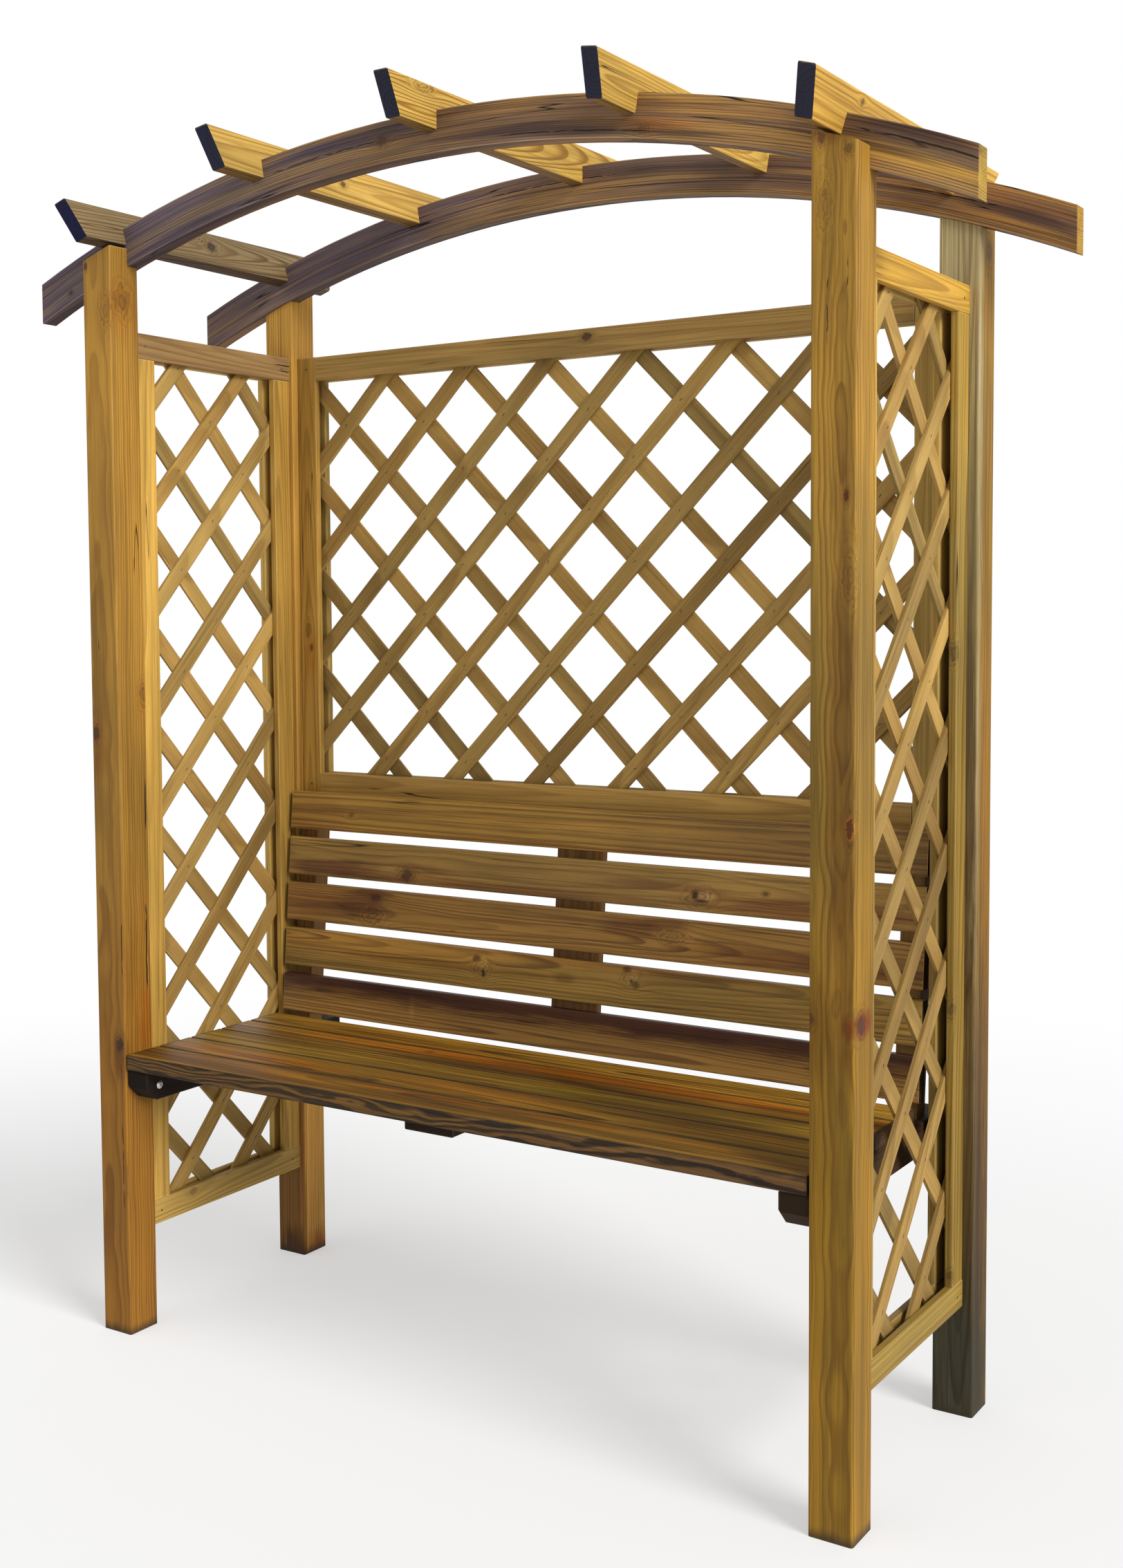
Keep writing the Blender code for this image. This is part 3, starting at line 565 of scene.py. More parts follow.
def surface_group():
    """Colour, roughness and height of weathered pine, from the masks of the other groups."""
    group, s, i, target = start_group(
        "Weathered pine",
        {"Late": "value", "Fibre": "value", "Streak": "value", "Tone": "value", "Fleck": "value",
         "Vein": "value", "Disc": "value", "Rings": "value", "Halo": "value", "Check": "value",
         "Edge": "value", "End": "value", "Light": "colour", "Dark": "colour", "Stain": "colour",
         "End Colour": "colour", "Knot": "colour", "Worn": "colour", "Wear": "value",
         "Tint": "colour", "Contrast": "value", "Stain Amount": "value",
         "Base Roughness": "value"},
        {"Color": "colour", "Roughness": "value", "Height": "value"})
    late = s.sum("MULTIPLY", i["Late"], i["Contrast"])
    paint = s.blend(late, i["Light"], i["Dark"])
    start = s.sum("SUBTRACT", 0.74, s.sum("MULTIPLY", i["Stain Amount"], 0.4))
    stain = s.step(i["Streak"], start, s.sum("ADD", start, 0.16))
    paint = s.blend(s.sum("MULTIPLY", stain, 0.8), paint, s.blend(late, i["Stain"], i["Dark"]))
    paint = s.blend(i["Vein"], paint, i["Dark"])
    slow_level = s.step(i["Tone"], 0.25, 0.75, 0.8, 1.18)
    level = s.sum("ADD", slow_level, s.step(i["Fibre"], 0.3, 0.7, -0.12, 0.1))
    paint = s.blend(1, paint, s.join(level, level, level), "MULTIPLY")
    paint = s.blend(s.sum("MULTIPLY", i["Halo"], 0.45), paint, s.blend(0.5, i["Dark"], i["Knot"]))
    knot = s.blend(i["Rings"], i["Knot"], s.blend(0.7, i["Knot"], (0.02, 0.01, 0.005)))
    paint = s.blend(i["Disc"], paint, knot)
    paint = s.blend(s.sum("MULTIPLY", i["Fleck"], 0.55), paint, i["Dark"])
    end = s.blend(late, i["End Colour"], s.blend(0.5, i["End Colour"], (0.01, 0.008, 0.005)))
    paint = s.blend(i["End"], paint, end)
    # The edge colour is pale wear on most boards and painted shade on the seat's slats.
    wear = s.sum("SUBTRACT", i["Wear"], s.sum("MULTIPLY", i["End"], 0.25))
    paint = s.blend(s.sum("MULTIPLY", i["Edge"], wear), paint, i["Worn"])
    paint = s.blend(i["Check"], paint, (0.012, 0.008, 0.005))
    paint = s.blend(1, paint, i["Tint"], "MULTIPLY")
    rough = s.sum("ADD", i["Base Roughness"], s.step(i["Tone"], 0.2, 0.8, -0.06, 0.08))
    rough = s.sum("ADD", rough, s.sum("MULTIPLY", i["End"], 0.15))
    rough = s.sum("SUBTRACT", rough, s.sum("MULTIPLY", i["Disc"], 0.12), clamp=True)
    height = s.sum("MULTIPLY_ADD", i["Fibre"], 0.22, s.sum("MULTIPLY", i["Late"], 0.35))
    height = s.sum("SUBTRACT", height, s.sum("MULTIPLY", i["Vein"], 0.4))
    height = s.sum("ADD", height, s.sum("MULTIPLY", i["Disc"], 0.25))
    height = s.sum("SUBTRACT", height, s.sum("MULTIPLY", i["Check"], 1.6))
    height = s.sum("SUBTRACT", height, s.sum("MULTIPLY", i["Fleck"], 0.3))
    finish_group(s, target, Color=paint, Roughness=rough, Height=height)
    return group


def arch_lay_group():
    """Board place on a bent beam.

    Along is the middle radius times the angle, and across is the radius less the middle one.
    """
    group, s, i, target = start_group("Arch lay", {"Place": "vector"}, {"Board": "vector"})
    x, y, z = s.split(i["Place"])
    up = s.sum("SUBTRACT", z, ARCH_CENTRE_Z)
    along = s.sum("MULTIPLY", s.sum("ARCTAN2", x, up), ARCH_MIDDLE_RADIUS)
    across = s.sum("SUBTRACT", s.turn("LENGTH", s.join(x, 0, up)), ARCH_MIDDLE_RADIUS)
    finish_group(s, target, Board=s.join(along, across, y))
    return group


def damp_group():
    """Dark stain that rises from the ground, its border broken by noise."""
    group, s, i, target = start_group(
        "Rising damp", {"Place": "vector", "Reach": "value"}, {"Damp": "value"})
    ragged = s.noise(s.turn("MULTIPLY", i["Place"], (60, 60, 12)), 3, 0.6)[0]
    level = s.sum("SUBTRACT", s.split(i["Place"])[2], s.sum("MULTIPLY", ragged, i["Reach"]))
    below = s.sum("MULTIPLY", i["Reach"], -0.5)
    finish_group(s, target, Damp=s.step(level, below, i["Reach"], 1, 0))
    return group


def sun_and_shade_group():
    """Painted shade low down and painted sunlight high up: the paint times a share that rises with
    height.
    """
    group, s, i, target = start_group(
        "Height fade", {"Paint": "colour", "Place": "vector", "Low": "value", "High": "value"},
        {"Paint": "colour"})
    ragged = s.noise(s.turn("MULTIPLY", i["Place"], (9, 9, 1.6)), 2, 0.5)[0]
    height = s.sum("ADD", s.split(i["Place"])[2], s.sum("MULTIPLY_ADD", ragged, 0.5, -0.25))
    level = s.step(height, 0.75, 1.75, i["Low"], i["High"])
    finish_group(s, target, Paint=s.blend(1, i["Paint"], s.join(level, level, level), "MULTIPLY"))
    return group


GROUPS = {}


def group(name):
    """A shared node group, built the first time that it is asked for."""
    makers = {
        "grain": grain_group, "knot": knot_group, "checks": check_group, "edges": edge_group,
        "surface": surface_group, "arch_lay": arch_lay_group, "damp": damp_group,
        "split": split_group, "patch": patch_group, "zebra": zebra_group, "fade": sun_and_shade_group,
    }
    if name not in GROUPS:
        GROUPS[name] = makers[name]()
    return GROUPS[name]


# ---------------------------------------------------------------------------------------------
# Timber
# ---------------------------------------------------------------------------------------------

# Marks of single boards, at points of the bench. A knot is (point, size, stretch along the grain,
# how fast it ends in depth, how dark), a split (start, length, width), and a patch (centre, reach
# along, across and through the board, tint, strength). Patches paint stains, and some of them paint
# sunlight and shade, as noted where they stand. The pair of shares that multiplies a board's colour
# low down and high up is painted shade and painted sunlight. The other entries take the place of
# values that the board's operator gives.
MARKS = {
    "front_right_post": {
        "seed": 3.5, "stain": 0.62, "pith": (0, 0.016, -0.062), "drift": (0, -0.002, 0.006),
        "wave": 0.022,
        "ripple": 0.015, "fade": (0.77, 1.1), "tint": (1.01, 1.0, 0.8),
        "knots": (
            ((0.7024, -0.284, 1.997), 0.006, 1.5, 0.8, 0.6),
            ((0.7423, -0.284, 1.978), 0.006, 1.3, 0.8, 0.6),
            ((0.708, -0.284, 1.906), 0.009, 2.6, 1, 0.15),
            ((0.7415, -0.284, 1.5032), 0.0038, 2.4, 1, 0.9),
            ((0.7473, -0.284, 1.3916), 0.0095, 2.8, 1, 0.12),
            ((0.7486, -0.284, 1.0388), 0.0058, 2.9, 1, 1),
            ((0.7565, -0.262, 0.7552), 0.017, 0.85, 1, 0.75),
            ((0.6867, -0.284, 0.7604), 0.008, 1.3, 1, 0.6)),
        "patches": (
            ((0.7486, -0.284, 1.0388), (0.022, 0.009, 0.02), (3.0, 2.0, 0.9), 1),
            ((0.7565, -0.256, 0.7552), (0.025, 0.03, 0.045), (0.85, 0.4, 0.32), 1),
            ((0.7, -0.284, 0.748), (0.1, 0.028, 0.02), (0.62, 0.54, 0.45), 0.8),
            ((0.7415, -0.284, 1.5032), (0.014, 0.006, 0.02), (1.2, 0.85, 0.5), 1),
            ((0.736, -0.284, 1.12), (0.6, 0.024, 0.02), (0.62, 0.52, 0.5), 0.9),
            ((0.7024, -0.284, 1.997), (0.018, 0.012, 0.02), (1.3, 1.3, 1.9), 0.8),
            ((0.715, -0.284, 2.01), (0.03, 0.04, 0.02), (0.62, 0.5, 0.6), 0.9),
            ((0.7, -0.284, 0.62), (0.35, 0.02, 0.02), (0.8, 0.82, 0.5), 0.7),
            ((0.72, -0.25, 0.25), (1.0, 0.2, 0.2), (1.06, 1.02, 0.48), 0.9),
            ((0.72, -0.25, 1.22), (0.4, 0.2, 0.2), (0.74, 0.8, 0.95), 0.9)),
        "splits": (
            ((0.742, -0.284, 1.75), 0.1, 0.001), ((0.7, -0.284, 1.985), 0.03, 0.0016),
            ((0.7415, -0.284, 1.965), 0.03, 0.0014), ((0.712, -0.284, 1.7), 0.13, 0.001)),
    },
    "front_left_post": {
        "seed": 7.5, "pith": (0, -0.012, 0.07), "drift": (0, 0.004, 0.01), "wave": 0.012,
        "ripple": 0.008, "fade": (0.76, 1.12), "tint": (1.02, 0.98, 0.85),
        "knots": (
            ((-0.7008, -0.284, 1.8962), 0.012, 1.4, 1, 0.15),
            ((-0.6865, -0.2551, 1.9148), 0.017, 1.1, 1, 0.3),
            ((-0.7459, -0.284, 1.1256), 0.009, 1.5, 1, 0.8),
            ((-0.6865, -0.2206, 1.197), 0.01, 1.6, 1, 0.35),
            ((-0.7001, -0.284, 0.5488), 0.009, 1.4, 1, 0.9),
            ((-0.6865, -0.2112, 0.8583), 0.005, 1.6, 1, 0.9),
            ((-0.7482, -0.284, 1.9782), 0.004, 1.8, 1, 1)),
        "splits": (
            ((-0.6865, -0.221, 0.93), 0.12, 0.0021), ((-0.6865, -0.225, 0.63), 0.19, 0.0022),
            ((-0.6865, -0.2133, 0.83), 0.05, 0.002), ((-0.6976, -0.284, 0.22), 0.2, 0.0014),
            ((-0.7346, -0.284, 1.26), 0.05, 0.0018), ((-0.6912, -0.284, 0.66), 0.14, 0.0014)),
        "patches": (
            ((-0.6865, -0.2279, 0.58), (0.09, 0.022, 0.03), (1.0, 0.74, 0.5), 0.85),
            ((-0.6865, -0.2551, 1.9), (0.07, 0.03, 0.05), (1.05, 0.88, 0.7), 0.7),
            ((-0.6865, -0.2206, 1.18), (0.06, 0.03, 0.03), (0.98, 0.8, 0.6), 0.5),
            ((-0.7459, -0.284, 1.11), (0.08, 0.03, 0.02), (0.8, 0.66, 0.55), 0.8),
            ((-0.7001, -0.284, 0.52), (0.06, 0.02, 0.02), (0.55, 0.45, 0.4), 0.8),
            ((-0.72, -0.25, 0.25), (0.7, 0.2, 0.2), (0.9, 0.72, 0.42), 0.85)),
    },
    "rear_left_post": {
        "fade": (0.95, 1.55),
        # Painted shade at the foot and on the front face, and painted light on the right-hand face.
        "patches": (
            ((-0.7167, 0.214, 0.0), (0.07, 0.05, 0.05), (0.3, 0.26, 0.25), 0.9),
            ((-0.6865, 0.26, 0.0), (0.06, 0.03, 0.03), (0.5, 0.3, 0.2), 0.9),
            ((-0.6865, 0.249, 0.3), (0.6, 0.012, 0.12), (1.95, 1.9, 2.1), 0.85),
            ((-0.7215, 0.214, 0.2), (0.55, 0.2, 0.012), (0.42, 0.34, 0.32), 0.9)),
    },
    "rear_right_post": {
        "knots": (((0.7565, 0.2546, 1.9235), 0.012, 1.6, 1, 0.6),),
        "tint": (0.7, 0.7, 0.52), "veins": 0.6, "fade": (0.62, 1.1),
        # The patches at heights 1.45 and 1.88 are painted shade below and painted sunlight above a
        # shadow's edge.
        "patches": (
            ((0.7215, 0.214, 1.3), (2.2, 0.09, 0.022), (1.5, 2.3, 8), 0.88),
            ((0.742, 0.214, 1.05), (0.4, 0.018, 0.03), (0.5, 0.46, 0.55), 0.9),
            ((0.72, 0.22, 0.85), (0.6, 0.2, 0.2), (1.3, 1.15, 0.95), 0.9),
            ((0.72, 0.22, 1.45), (0.25, 0.2, 0.05), (0.75, 0.72, 0.7), 0.9),
            ((0.72, 0.22, 1.88), (0.35, 0.2, 0.05), (1.2, 1.2, 1.35), 0.8),
            ((0.72, 0.22, 0.1), (0.9, 0.2, 0.08), (0.36, 0.3, 0.24), 0.95),
            ((0.72, 0.22, 0.0), (0.3, 0.2, 0.08), (0.46, 0.68, 1.15), 0.9)),
    },
    "front_arch": {
        "knots": (
            ((-0.0987, -0.2407, 2.1183), 0.0075, 1.6, 0.6, 0.9),
            ((0.3936, -0.2407, 2.0637), 0.006, 1.4, 0.6, 0.3),
            ((-0.8337, -0.2407, 1.9459), 0.004, 1.3, 1, 0.9)),
        "splits": (
            ((0.7248, -0.2407, 2.0187), 0.26, 0.0018), ((0.12, -0.2407, 2.093), 0.3, 0.0013),
            ((-0.35, -0.2407, 2.095), 0.26, 0.0013)),
        # Wide patches: painted sunlight (warm) and painted shade (bluish) on the front face.
        "patches": (
            ((-0.62, -0.2407, 2.033), (0.6, 0.07, 0.05), (0.68, 0.85, 1.75), 0.85),
            ((0.4193, -0.2407, 2.067), (0.09, 0.016, 0.05), (1.15, 0.88, 0.78), 0.8),
            ((0.2313, -0.2407, 2.0919), (0.3, 0.012, 0.05), (0.42, 0.42, 0.62), 1),
            ((0.2312, -0.2407, 2.0754), (0.24, 0.005, 0.05), (1.5, 1.55, 1.7), 0.8),
            ((-0.15, -0.2407, 2.1286), (0.24, 0.016, 0.05), (0.5, 0.55, 0.85), 0.9),
            ((0.12, -0.2407, 2.137), (0.16, 0.014, 0.05), (1.4, 1.3, 0.9), 0.8),
            ((0.5, -0.2407, 2.078), (0.17, 0.014, 0.05), (1.35, 1.25, 0.9), 0.8),
            ((0.83, -0.2407, 1.994), (0.14, 0.011, 0.05), (0.5, 0.45, 0.55), 1),
            ((0.3, -0.2407, 2.105), (0.5, 0.03, 0.05), (1.25, 1.2, 1.0), 0.8),
            ((0.82, -0.2407, 1.962), (0.16, 0.02, 0.05), (1.4, 1.4, 0.8), 0.7),
            ((0.3, -0.2407, 2.1), (1.1, 0.2, 0.1), (1.25, 1.18, 0.95), 0.85)),
    },
    "rear_arch": {
        "splits": (((-0.2, 0.2072, 2.12), 0.3, 0.0013), ((0.62, 0.2072, 2.035), 0.2, 0.0014)),
        # Wide patches: painted shade (bluish, left) and painted sunlight (warm, right).
        "patches": (
            ((-0.6, 0.2072, 2.04), (0.55, 0.07, 0.05), (0.68, 0.82, 1.6), 0.8),
            ((0.8126, 0.2072, 1.9709), (0.13, 0.013, 0.05), (0.5, 0.5, 0.7), 1),
            ((0.2, 0.2072, 2.12), (0.25, 0.015, 0.05), (0.5, 0.5, 0.6), 0.9),
            ((0.75, 0.2072, 2.01), (0.2, 0.014, 0.05), (1.3, 1.15, 0.9), 0.8),
            ((0.8, 0.2072, 1.97), (0.5, 0.2, 0.1), (1.3, 1.12, 0.75), 0.85)),
    },
    "rafter_1": {
        "seed": 12.5, "tint": (0.36, 0.41, 0.95), "pith": (0, 0, 0.035), "drift": (0, 0.03, 0.06),
        "wave": 0.03,
        "contrast": 1.6,
        "knots": (
            ((-0.6975, -0.0055, 2.053), 0.009, 1.4, 0.4, 0.8),
            ((-0.7009, -0.0461, 2.0637), 0.008, 2.4, 0.6, 0.1)),
    },
    "rafter_2": {
        "pith": (0, -0.004, 0.045), "drift": (0, 0, -0.02), "tint": (0.82, 0.82, 0.9),
        "contrast": 1.2,
        "knots": (((-0.3592, -0.0186, 2.1249), 0.0055, 1.3, 0.6, 0.8),),
    },
    "rafter_3": {
        "pith": (0, 0.0, 0.035), "drift": (0, 0.03, 0.07), "wave": 0.024, "contrast": 1.4,
        "knots": (((0.014, -0.2775, 2.1801), 0.008, 2.2, 0.6, 0.08),),
    },
    "rafter_4": {
        "pith": (0, -0.005, 0.03), "drift": (0, -0.02, 0.07), "wave": 0.022, "contrast": 1.4,
    },
    "rafter_5": {
        "tint": (1.12, 1.05, 0.95), "wave": 0.02,
        "knots": (((0.729, -0.2026, 2.0599), 0.005, 1.2, 0.6, 0.7),),
        "splits": (((0.728, -0.225, 2.062), 0.06, 0.0016),),
    },
    "left_trellis_inner_start_stile": {"tint": (1.2, 1.12, 0.95)},
    "left_trellis_inner_end_stile": {"tint": (1.12, 1.02, 0.8)},
    "left_trellis_inner_top_rail": {
        "tint": (0.7, 0.66, 1.05),
        "splits": (
            ((-0.6945, 0.155, 1.8473), 0.09, 0.0018), ((-0.6945, 0.165, 1.836), 0.07, 0.0014)),
    },
    "left_trellis_inner_bottom_rail": {
        "knots": (((-0.6945, -0.1044, 0.2231), 0.007, 1.5, 0.6, 0.4),),
        "splits": (
            ((-0.6945, -0.03, 0.2313), 0.045, 0.0016), ((-0.6945, 0.0, 0.228), 0.03, 0.0015)),
    },
    "back_trellis_front_start_stile": {
        "pith": (0, -0.002, 0.02), "drift": (0, 0, 0.02), "tint": (1.1, 0.98, 0.78),
        "knots": (
            ((-0.6653, 0.23, 1.3113), 0.0075, 2.2, 0.6, 0.45),
            ((-0.6583, 0.23, 1.2746), 0.004, 2, 0.6, 0.7)),
        "patches": (((-0.6583, 0.23, 1.26), (0.06, 0.018, 0.03), (0.95, 0.75, 0.6), 0.8),),
    },
    "back_trellis_front_top_rail": {
        "knots": (((0.0072, 0.23, 1.8487), 0.0075, 1.5, 0.5, 0.9),), "tint": (0.9, 0.86, 1.0),
    },
    "right_trellis_outer_end_stile": {
        "tint": (0.84, 0.82, 0.6), "fade": (0.72, 1.2), "contrast": 1.2,
        # The patch is painted shade below a shadow's edge.
        "patches": (((0.7385, 0.164, 1.38), (0.36, 0.1, 0.1), (0.74, 0.8, 1.05), 0.85),),
        "knots": (
            ((0.7385, 0.164, 0.6943), 0.0095, 1.2, 0.6, 0.35),
            ((0.7385, 0.1654, 1.2743), 0.0105, 1.3, 0.6, 0.4),
            ((0.7385, 0.1646, 0.2523), 0.008, 1.2, 0.6, 0.35)),
    },
    "right_trellis_outer_top_rail": {
        "pith": (0, 0.0, 0.02), "drift": (0, 0.02, 0.045), "wave": 0.02, "tint": (1.15, 1.02, 0.6),
        "contrast": 1.0,
    },
    "back_trellis_front_bottom_rail": {
        "tint": (1.0, 0.93, 0.95),
        "patches": (
            ((0.0, 0.23, 0.93), (0.03, 0.03, 0.03), (1.3, 1.35, 1.5), 0.5),
            ((0.15, 0.23, 0.93), (0.2, 0.03, 0.03), (0.7, 0.6, 0.65), 0.7)),
    },
    "right_trellis_outer_bottom_rail": {"tint": (0.95, 0.98, 0.8)},
    # The bearers' tints are painted shade under the seat.
    "left_bearer": {"tint": (0.2, 0.12, 0.06)},
    "right_bearer": {"tint": (0.7, 0.5, 0.25)},
    "seat_cleat": {"tint": (0.7, 0.6, 0.5)},
    "left_back_support": {"tint": (0.72, 0.62, 0.6)},
    "middle_back_support": {"tint": (0.72, 0.62, 0.62)},
    "seat_slat_1": {
        "seed": 21.5, "zebra": 95.0, "stain": 0.75, "tint": (0.94, 0.86, 0.75),
        "patches": (
            ((-0.5, -0.24, 0.531), (0.3, 0.05, 0.05), (0.85, 0.72, 0.95), 0.8),
            ((0.49, -0.24, 0.531), (0.12, 0.03, 0.03), (1.35, 1.25, 0.9), 0.7),
            ((0.1, -0.22, 0.531), (0.5, 0.02, 0.05), (1.1, 0.8, 0.7), 0.7),
            ((0.5, -0.25, 0.531), (0.5, 0.2, 0.05), (0.92, 0.97, 1.35), 0.8)),
    },
    "seat_slat_2": {
        "seed": 23.5, "tint": (0.98, 0.92, 0.8),
        "knots": (((-0.1883, -0.1885, 0.531), 0.0075, 1.3, 0.5, 0.9),),
        "patches": (
            ((-0.45, -0.17, 0.531), (0.28, 0.03, 0.05), (1.4, 1.0, 0.75), 0.9),
            ((0.0, -0.15, 0.531), (0.25, 0.05, 0.05), (1.1, 0.85, 0.7), 0.6),
            ((0.5, -0.16, 0.531), (0.5, 0.2, 0.05), (1.0, 1.05, 1.4), 0.8)),
    },
    "seat_slat_3": {
        "seed": 24.5, "tint": (1.06, 1.12, 1.0), "checks": 0.2,
        "patches": (
            ((0.15, -0.08, 0.531), (0.14, 0.03, 0.05), (0.9, 1.05, 0.95), 0.8),
            ((-0.1, -0.05, 0.531), (0.5, 0.012, 0.05), (0.6, 0.5, 0.5), 0.7),
            ((0.55, -0.04, 0.531), (0.5, 0.15, 0.05), (1.2, 1.25, 1.4), 0.8)),
    },
    "seat_slat_4": {
        "seed": 28.5, "tint": (1.3, 1.18, 1.05),
        "knots": (((-0.22, 0.03, 0.531), 0.006, 1.3, 0.5, 0.6),),
        "patches": (
            ((0.1, 0.027, 0.531), (0.7, 0.034, 0.05), (1.6, 1.06, 0.55), 0.95),
            ((0.3, -0.018, 0.531), (0.6, 0.012, 0.05), (0.55, 0.48, 0.45), 0.9),
            ((0.6, 0.04, 0.531), (0.5, 0.15, 0.05), (1.2, 1.25, 1.4), 0.8)),
    },
    "seat_slat_5": {
        "seed": 26.5, "tint": (1.28, 1.22, 1.1),
        "patches": (
            ((-0.4, 0.08, 0.531), (0.3, 0.04, 0.05), (0.85, 0.72, 0.7), 0.8),
            ((0.1, 0.06, 0.531), (0.5, 0.014, 0.05), (1.35, 1.0, 0.7), 0.4),
            ((-0.6, 0.1, 0.531), (0.25, 0.2, 0.05), (0.8, 0.84, 1.0), 0.8),
            ((0.5, 0.1, 0.531), (0.6, 0.2, 0.05), (1.25, 1.3, 1.5), 0.8)),
    },
    "back_slat_1": {
        "seed": 41.5, "tint": (1.1, 1.08, 0.85), "stain": 0.35, "spacing": 1.4,
        "knots": (((-0.5282, 0.19, 0.94), 0.005, 1.3, 0.5, 0.5),),
        "patches": (
            ((0.0, 0.187, 0.905), (0.9, 0.014, 0.05), (0.85, 0.7, 0.6), 0.8),
            ((0.1, 0.19, 0.952), (1.0, 0.006, 0.05), (1.25, 1.2, 1.1), 0.7),
            ((-0.62, 0.19, 0.93), (0.1, 0.05, 0.05), (0.85, 0.75, 0.75), 0.7),
            ((0.42, 0.19, 0.92), (0.5, 0.1, 0.05), (0.68, 0.68, 0.95), 0.85)),
    },
    "back_slat_2": {
        "seed": 43.5, "tint": (1.05, 1.1, 1.15), "wave": 0.022,
        "knots": (
            ((-0.3829, 0.18, 0.8294), 0.0115, 1.2, 0.5, 0.8),
            ((0.2649, 0.181, 0.838), 0.013, 1.3, 0.5, 0.3),
            ((0.3932, 0.1827, 0.8544), 0.0035, 1.4, 0.8, 0.7)),
        "patches": (
            ((-0.57, 0.181, 0.832), (0.16, 0.022, 0.05), (0.5, 0.36, 0.5), 0.95),
            ((0.5, 0.18, 0.83), (0.3, 0.026, 0.05), (0.62, 0.42, 0.45), 0.9),
            ((0.274, 0.181, 0.841), (0.026, 0.011, 0.05), (1.8, 1.95, 2.5), 0.9),
            ((0.256, 0.181, 0.842), (0.009, 0.009, 0.05), (0.2, 0.16, 0.16), 1),
            ((0.268, 0.181, 0.832), (0.02, 0.0035, 0.05), (0.3, 0.25, 0.25), 1),
            ((0.2, 0.181, 0.852), (0.2, 0.01, 0.05), (0.68, 0.55, 0.6), 0.8),
            ((-0.34, 0.181, 0.845), (0.09, 0.012, 0.05), (0.7, 0.55, 0.55), 0.8),
            ((-0.2, 0.18, 0.822), (0.5, 0.012, 0.05), (0.7, 0.52, 0.5), 0.8)),
    },
    "back_slat_3": {
        "seed": 45.5, "tint": (0.98, 0.92, 0.88), "wave": 0.03,
        "knots": (
            ((-0.4629, 0.1728, 0.7441), 0.014, 1.2, 0.5, 0.12),
            ((-0.4558, 0.176, 0.7801), 0.007, 1.8, 0.6, 0.7),
            ((0.2143, 0.1746, 0.764), 0.010, 1.6, 0.5, 0.1)),
        "patches": (
            ((-0.5, 0.175, 0.762), (0.09, 0.03, 0.05), (0.56, 0.42, 0.46), 0.95),
            ((-0.46, 0.176, 0.788), (0.06, 0.014, 0.05), (0.55, 0.42, 0.46), 0.9),
            ((-0.62, 0.172, 0.76), (0.1, 0.04, 0.05), (0.95, 0.78, 0.72), 0.8),
            ((0.12, 0.176, 0.772), (0.08, 0.022, 0.05), (0.6, 0.48, 0.5), 0.9),
            ((0.2, 0.176, 0.786), (0.07, 0.014, 0.05), (0.6, 0.48, 0.5), 0.9),
            ((0.245, 0.174, 0.765), (0.035, 0.02, 0.05), (1.25, 1.2, 1.25), 0.7),
            ((0.5, 0.172, 0.745), (0.35, 0.02, 0.05), (0.66, 0.52, 0.5), 0.9)),
    },
    "back_slat_4": {
        "seed": 47.5, "tint": (1.0, 1.06, 0.95), "checks": 0.16,
        "knots": (
            ((-0.1949, 0.1661, 0.6686), 0.0125, 0.9, 0.5, 0.25),
            ((0.1335, 0.1673, 0.6825), 0.012, 0.85, 0.5, 0.25),
            ((-0.192, 0.1661, 0.662), 0.0035, 1, 0.5, 1),
            ((0.133, 0.1673, 0.677), 0.003, 1, 0.5, 1)),
        "patches": (
            ((-0.193, 0.1661, 0.672), (0.016, 0.02, 0.05), (1.6, 1.7, 1.9), 0.85),
            ((-0.207, 0.1661, 0.686), (0.012, 0.009, 0.05), (0.35, 0.28, 0.28), 0.9),
            ((-0.19, 0.1661, 0.656), (0.006, 0.008, 0.05), (0.2, 0.16, 0.16), 1),
            ((0.134, 0.1673, 0.684), (0.014, 0.018, 0.05), (1.6, 1.7, 1.9), 0.8),
            ((0.124, 0.1673, 0.698), (0.012, 0.008, 0.05), (0.4, 0.32, 0.3), 0.9),
            ((0.141, 0.1673, 0.672), (0.01, 0.008, 0.05), (0.4, 0.34, 0.32), 0.9),
            ((-0.01, 0.1673, 0.668), (0.03, 0.014, 0.05), (0.65, 0.6, 0.55), 0.8),
            ((-0.48, 0.168, 0.685), (0.4, 0.04, 0.05), (1.5, 1.3, 1.15), 0.85),
            ((0.1, 0.168, 0.7), (0.5, 0.014, 0.05), (0.95, 0.75, 0.62), 0.7),
            ((-0.3, 0.165, 0.665), (0.35, 0.009, 0.05), (0.55, 0.5, 0.4), 0.8)),
    },
    "back_slat_5": {
        "seed": 49.5, "tint": (0.92, 0.86, 0.9), "wave": 0.02, "contrast": 1.25, "spacing": 0.8,
        "veins": 0.7,
        "patches": (
            ((0.0, 0.16, 0.609), (1.8, 0.04, 0.05), (0.24, 0.15, 0.24), 1),
            ((0.0, 0.158, 0.548), (1.2, 0.026, 0.05), (1.3, 1.35, 1.35), 0.8),
            ((-0.3563, 0.157, 0.579), (0.008, 0.03, 0.05), (1.5, 1.6, 1.6), 0.5)),
    },
}


def node_points(node):
    """All vertices of a CAD node as an array."""
    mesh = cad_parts[node].data
    points = np.empty(len(mesh.vertices) * 3, np.float32)
    mesh.vertices.foreach_get("co", points)
    return points.reshape(-1, 3).astype(float)


def lay_board(node, grain, across):
    """Place, turn, half size and grain of a board, from its vertices along its own directions."""
    along = Vector(grain).normalized()
    over = Vector(across).normalized()
    axes = np.array((along, over, along.cross(over)))
    reach = node_points(node) @ axes.T
    low, high = reach.min(0), reach.max(0)
    middle = Vector(axes.T @ ((low + high) / 2))
    turn = Matrix(axes.tolist()).transposed().to_euler()
    return Board(middle, turn, Vector((high - low) / 2), along)


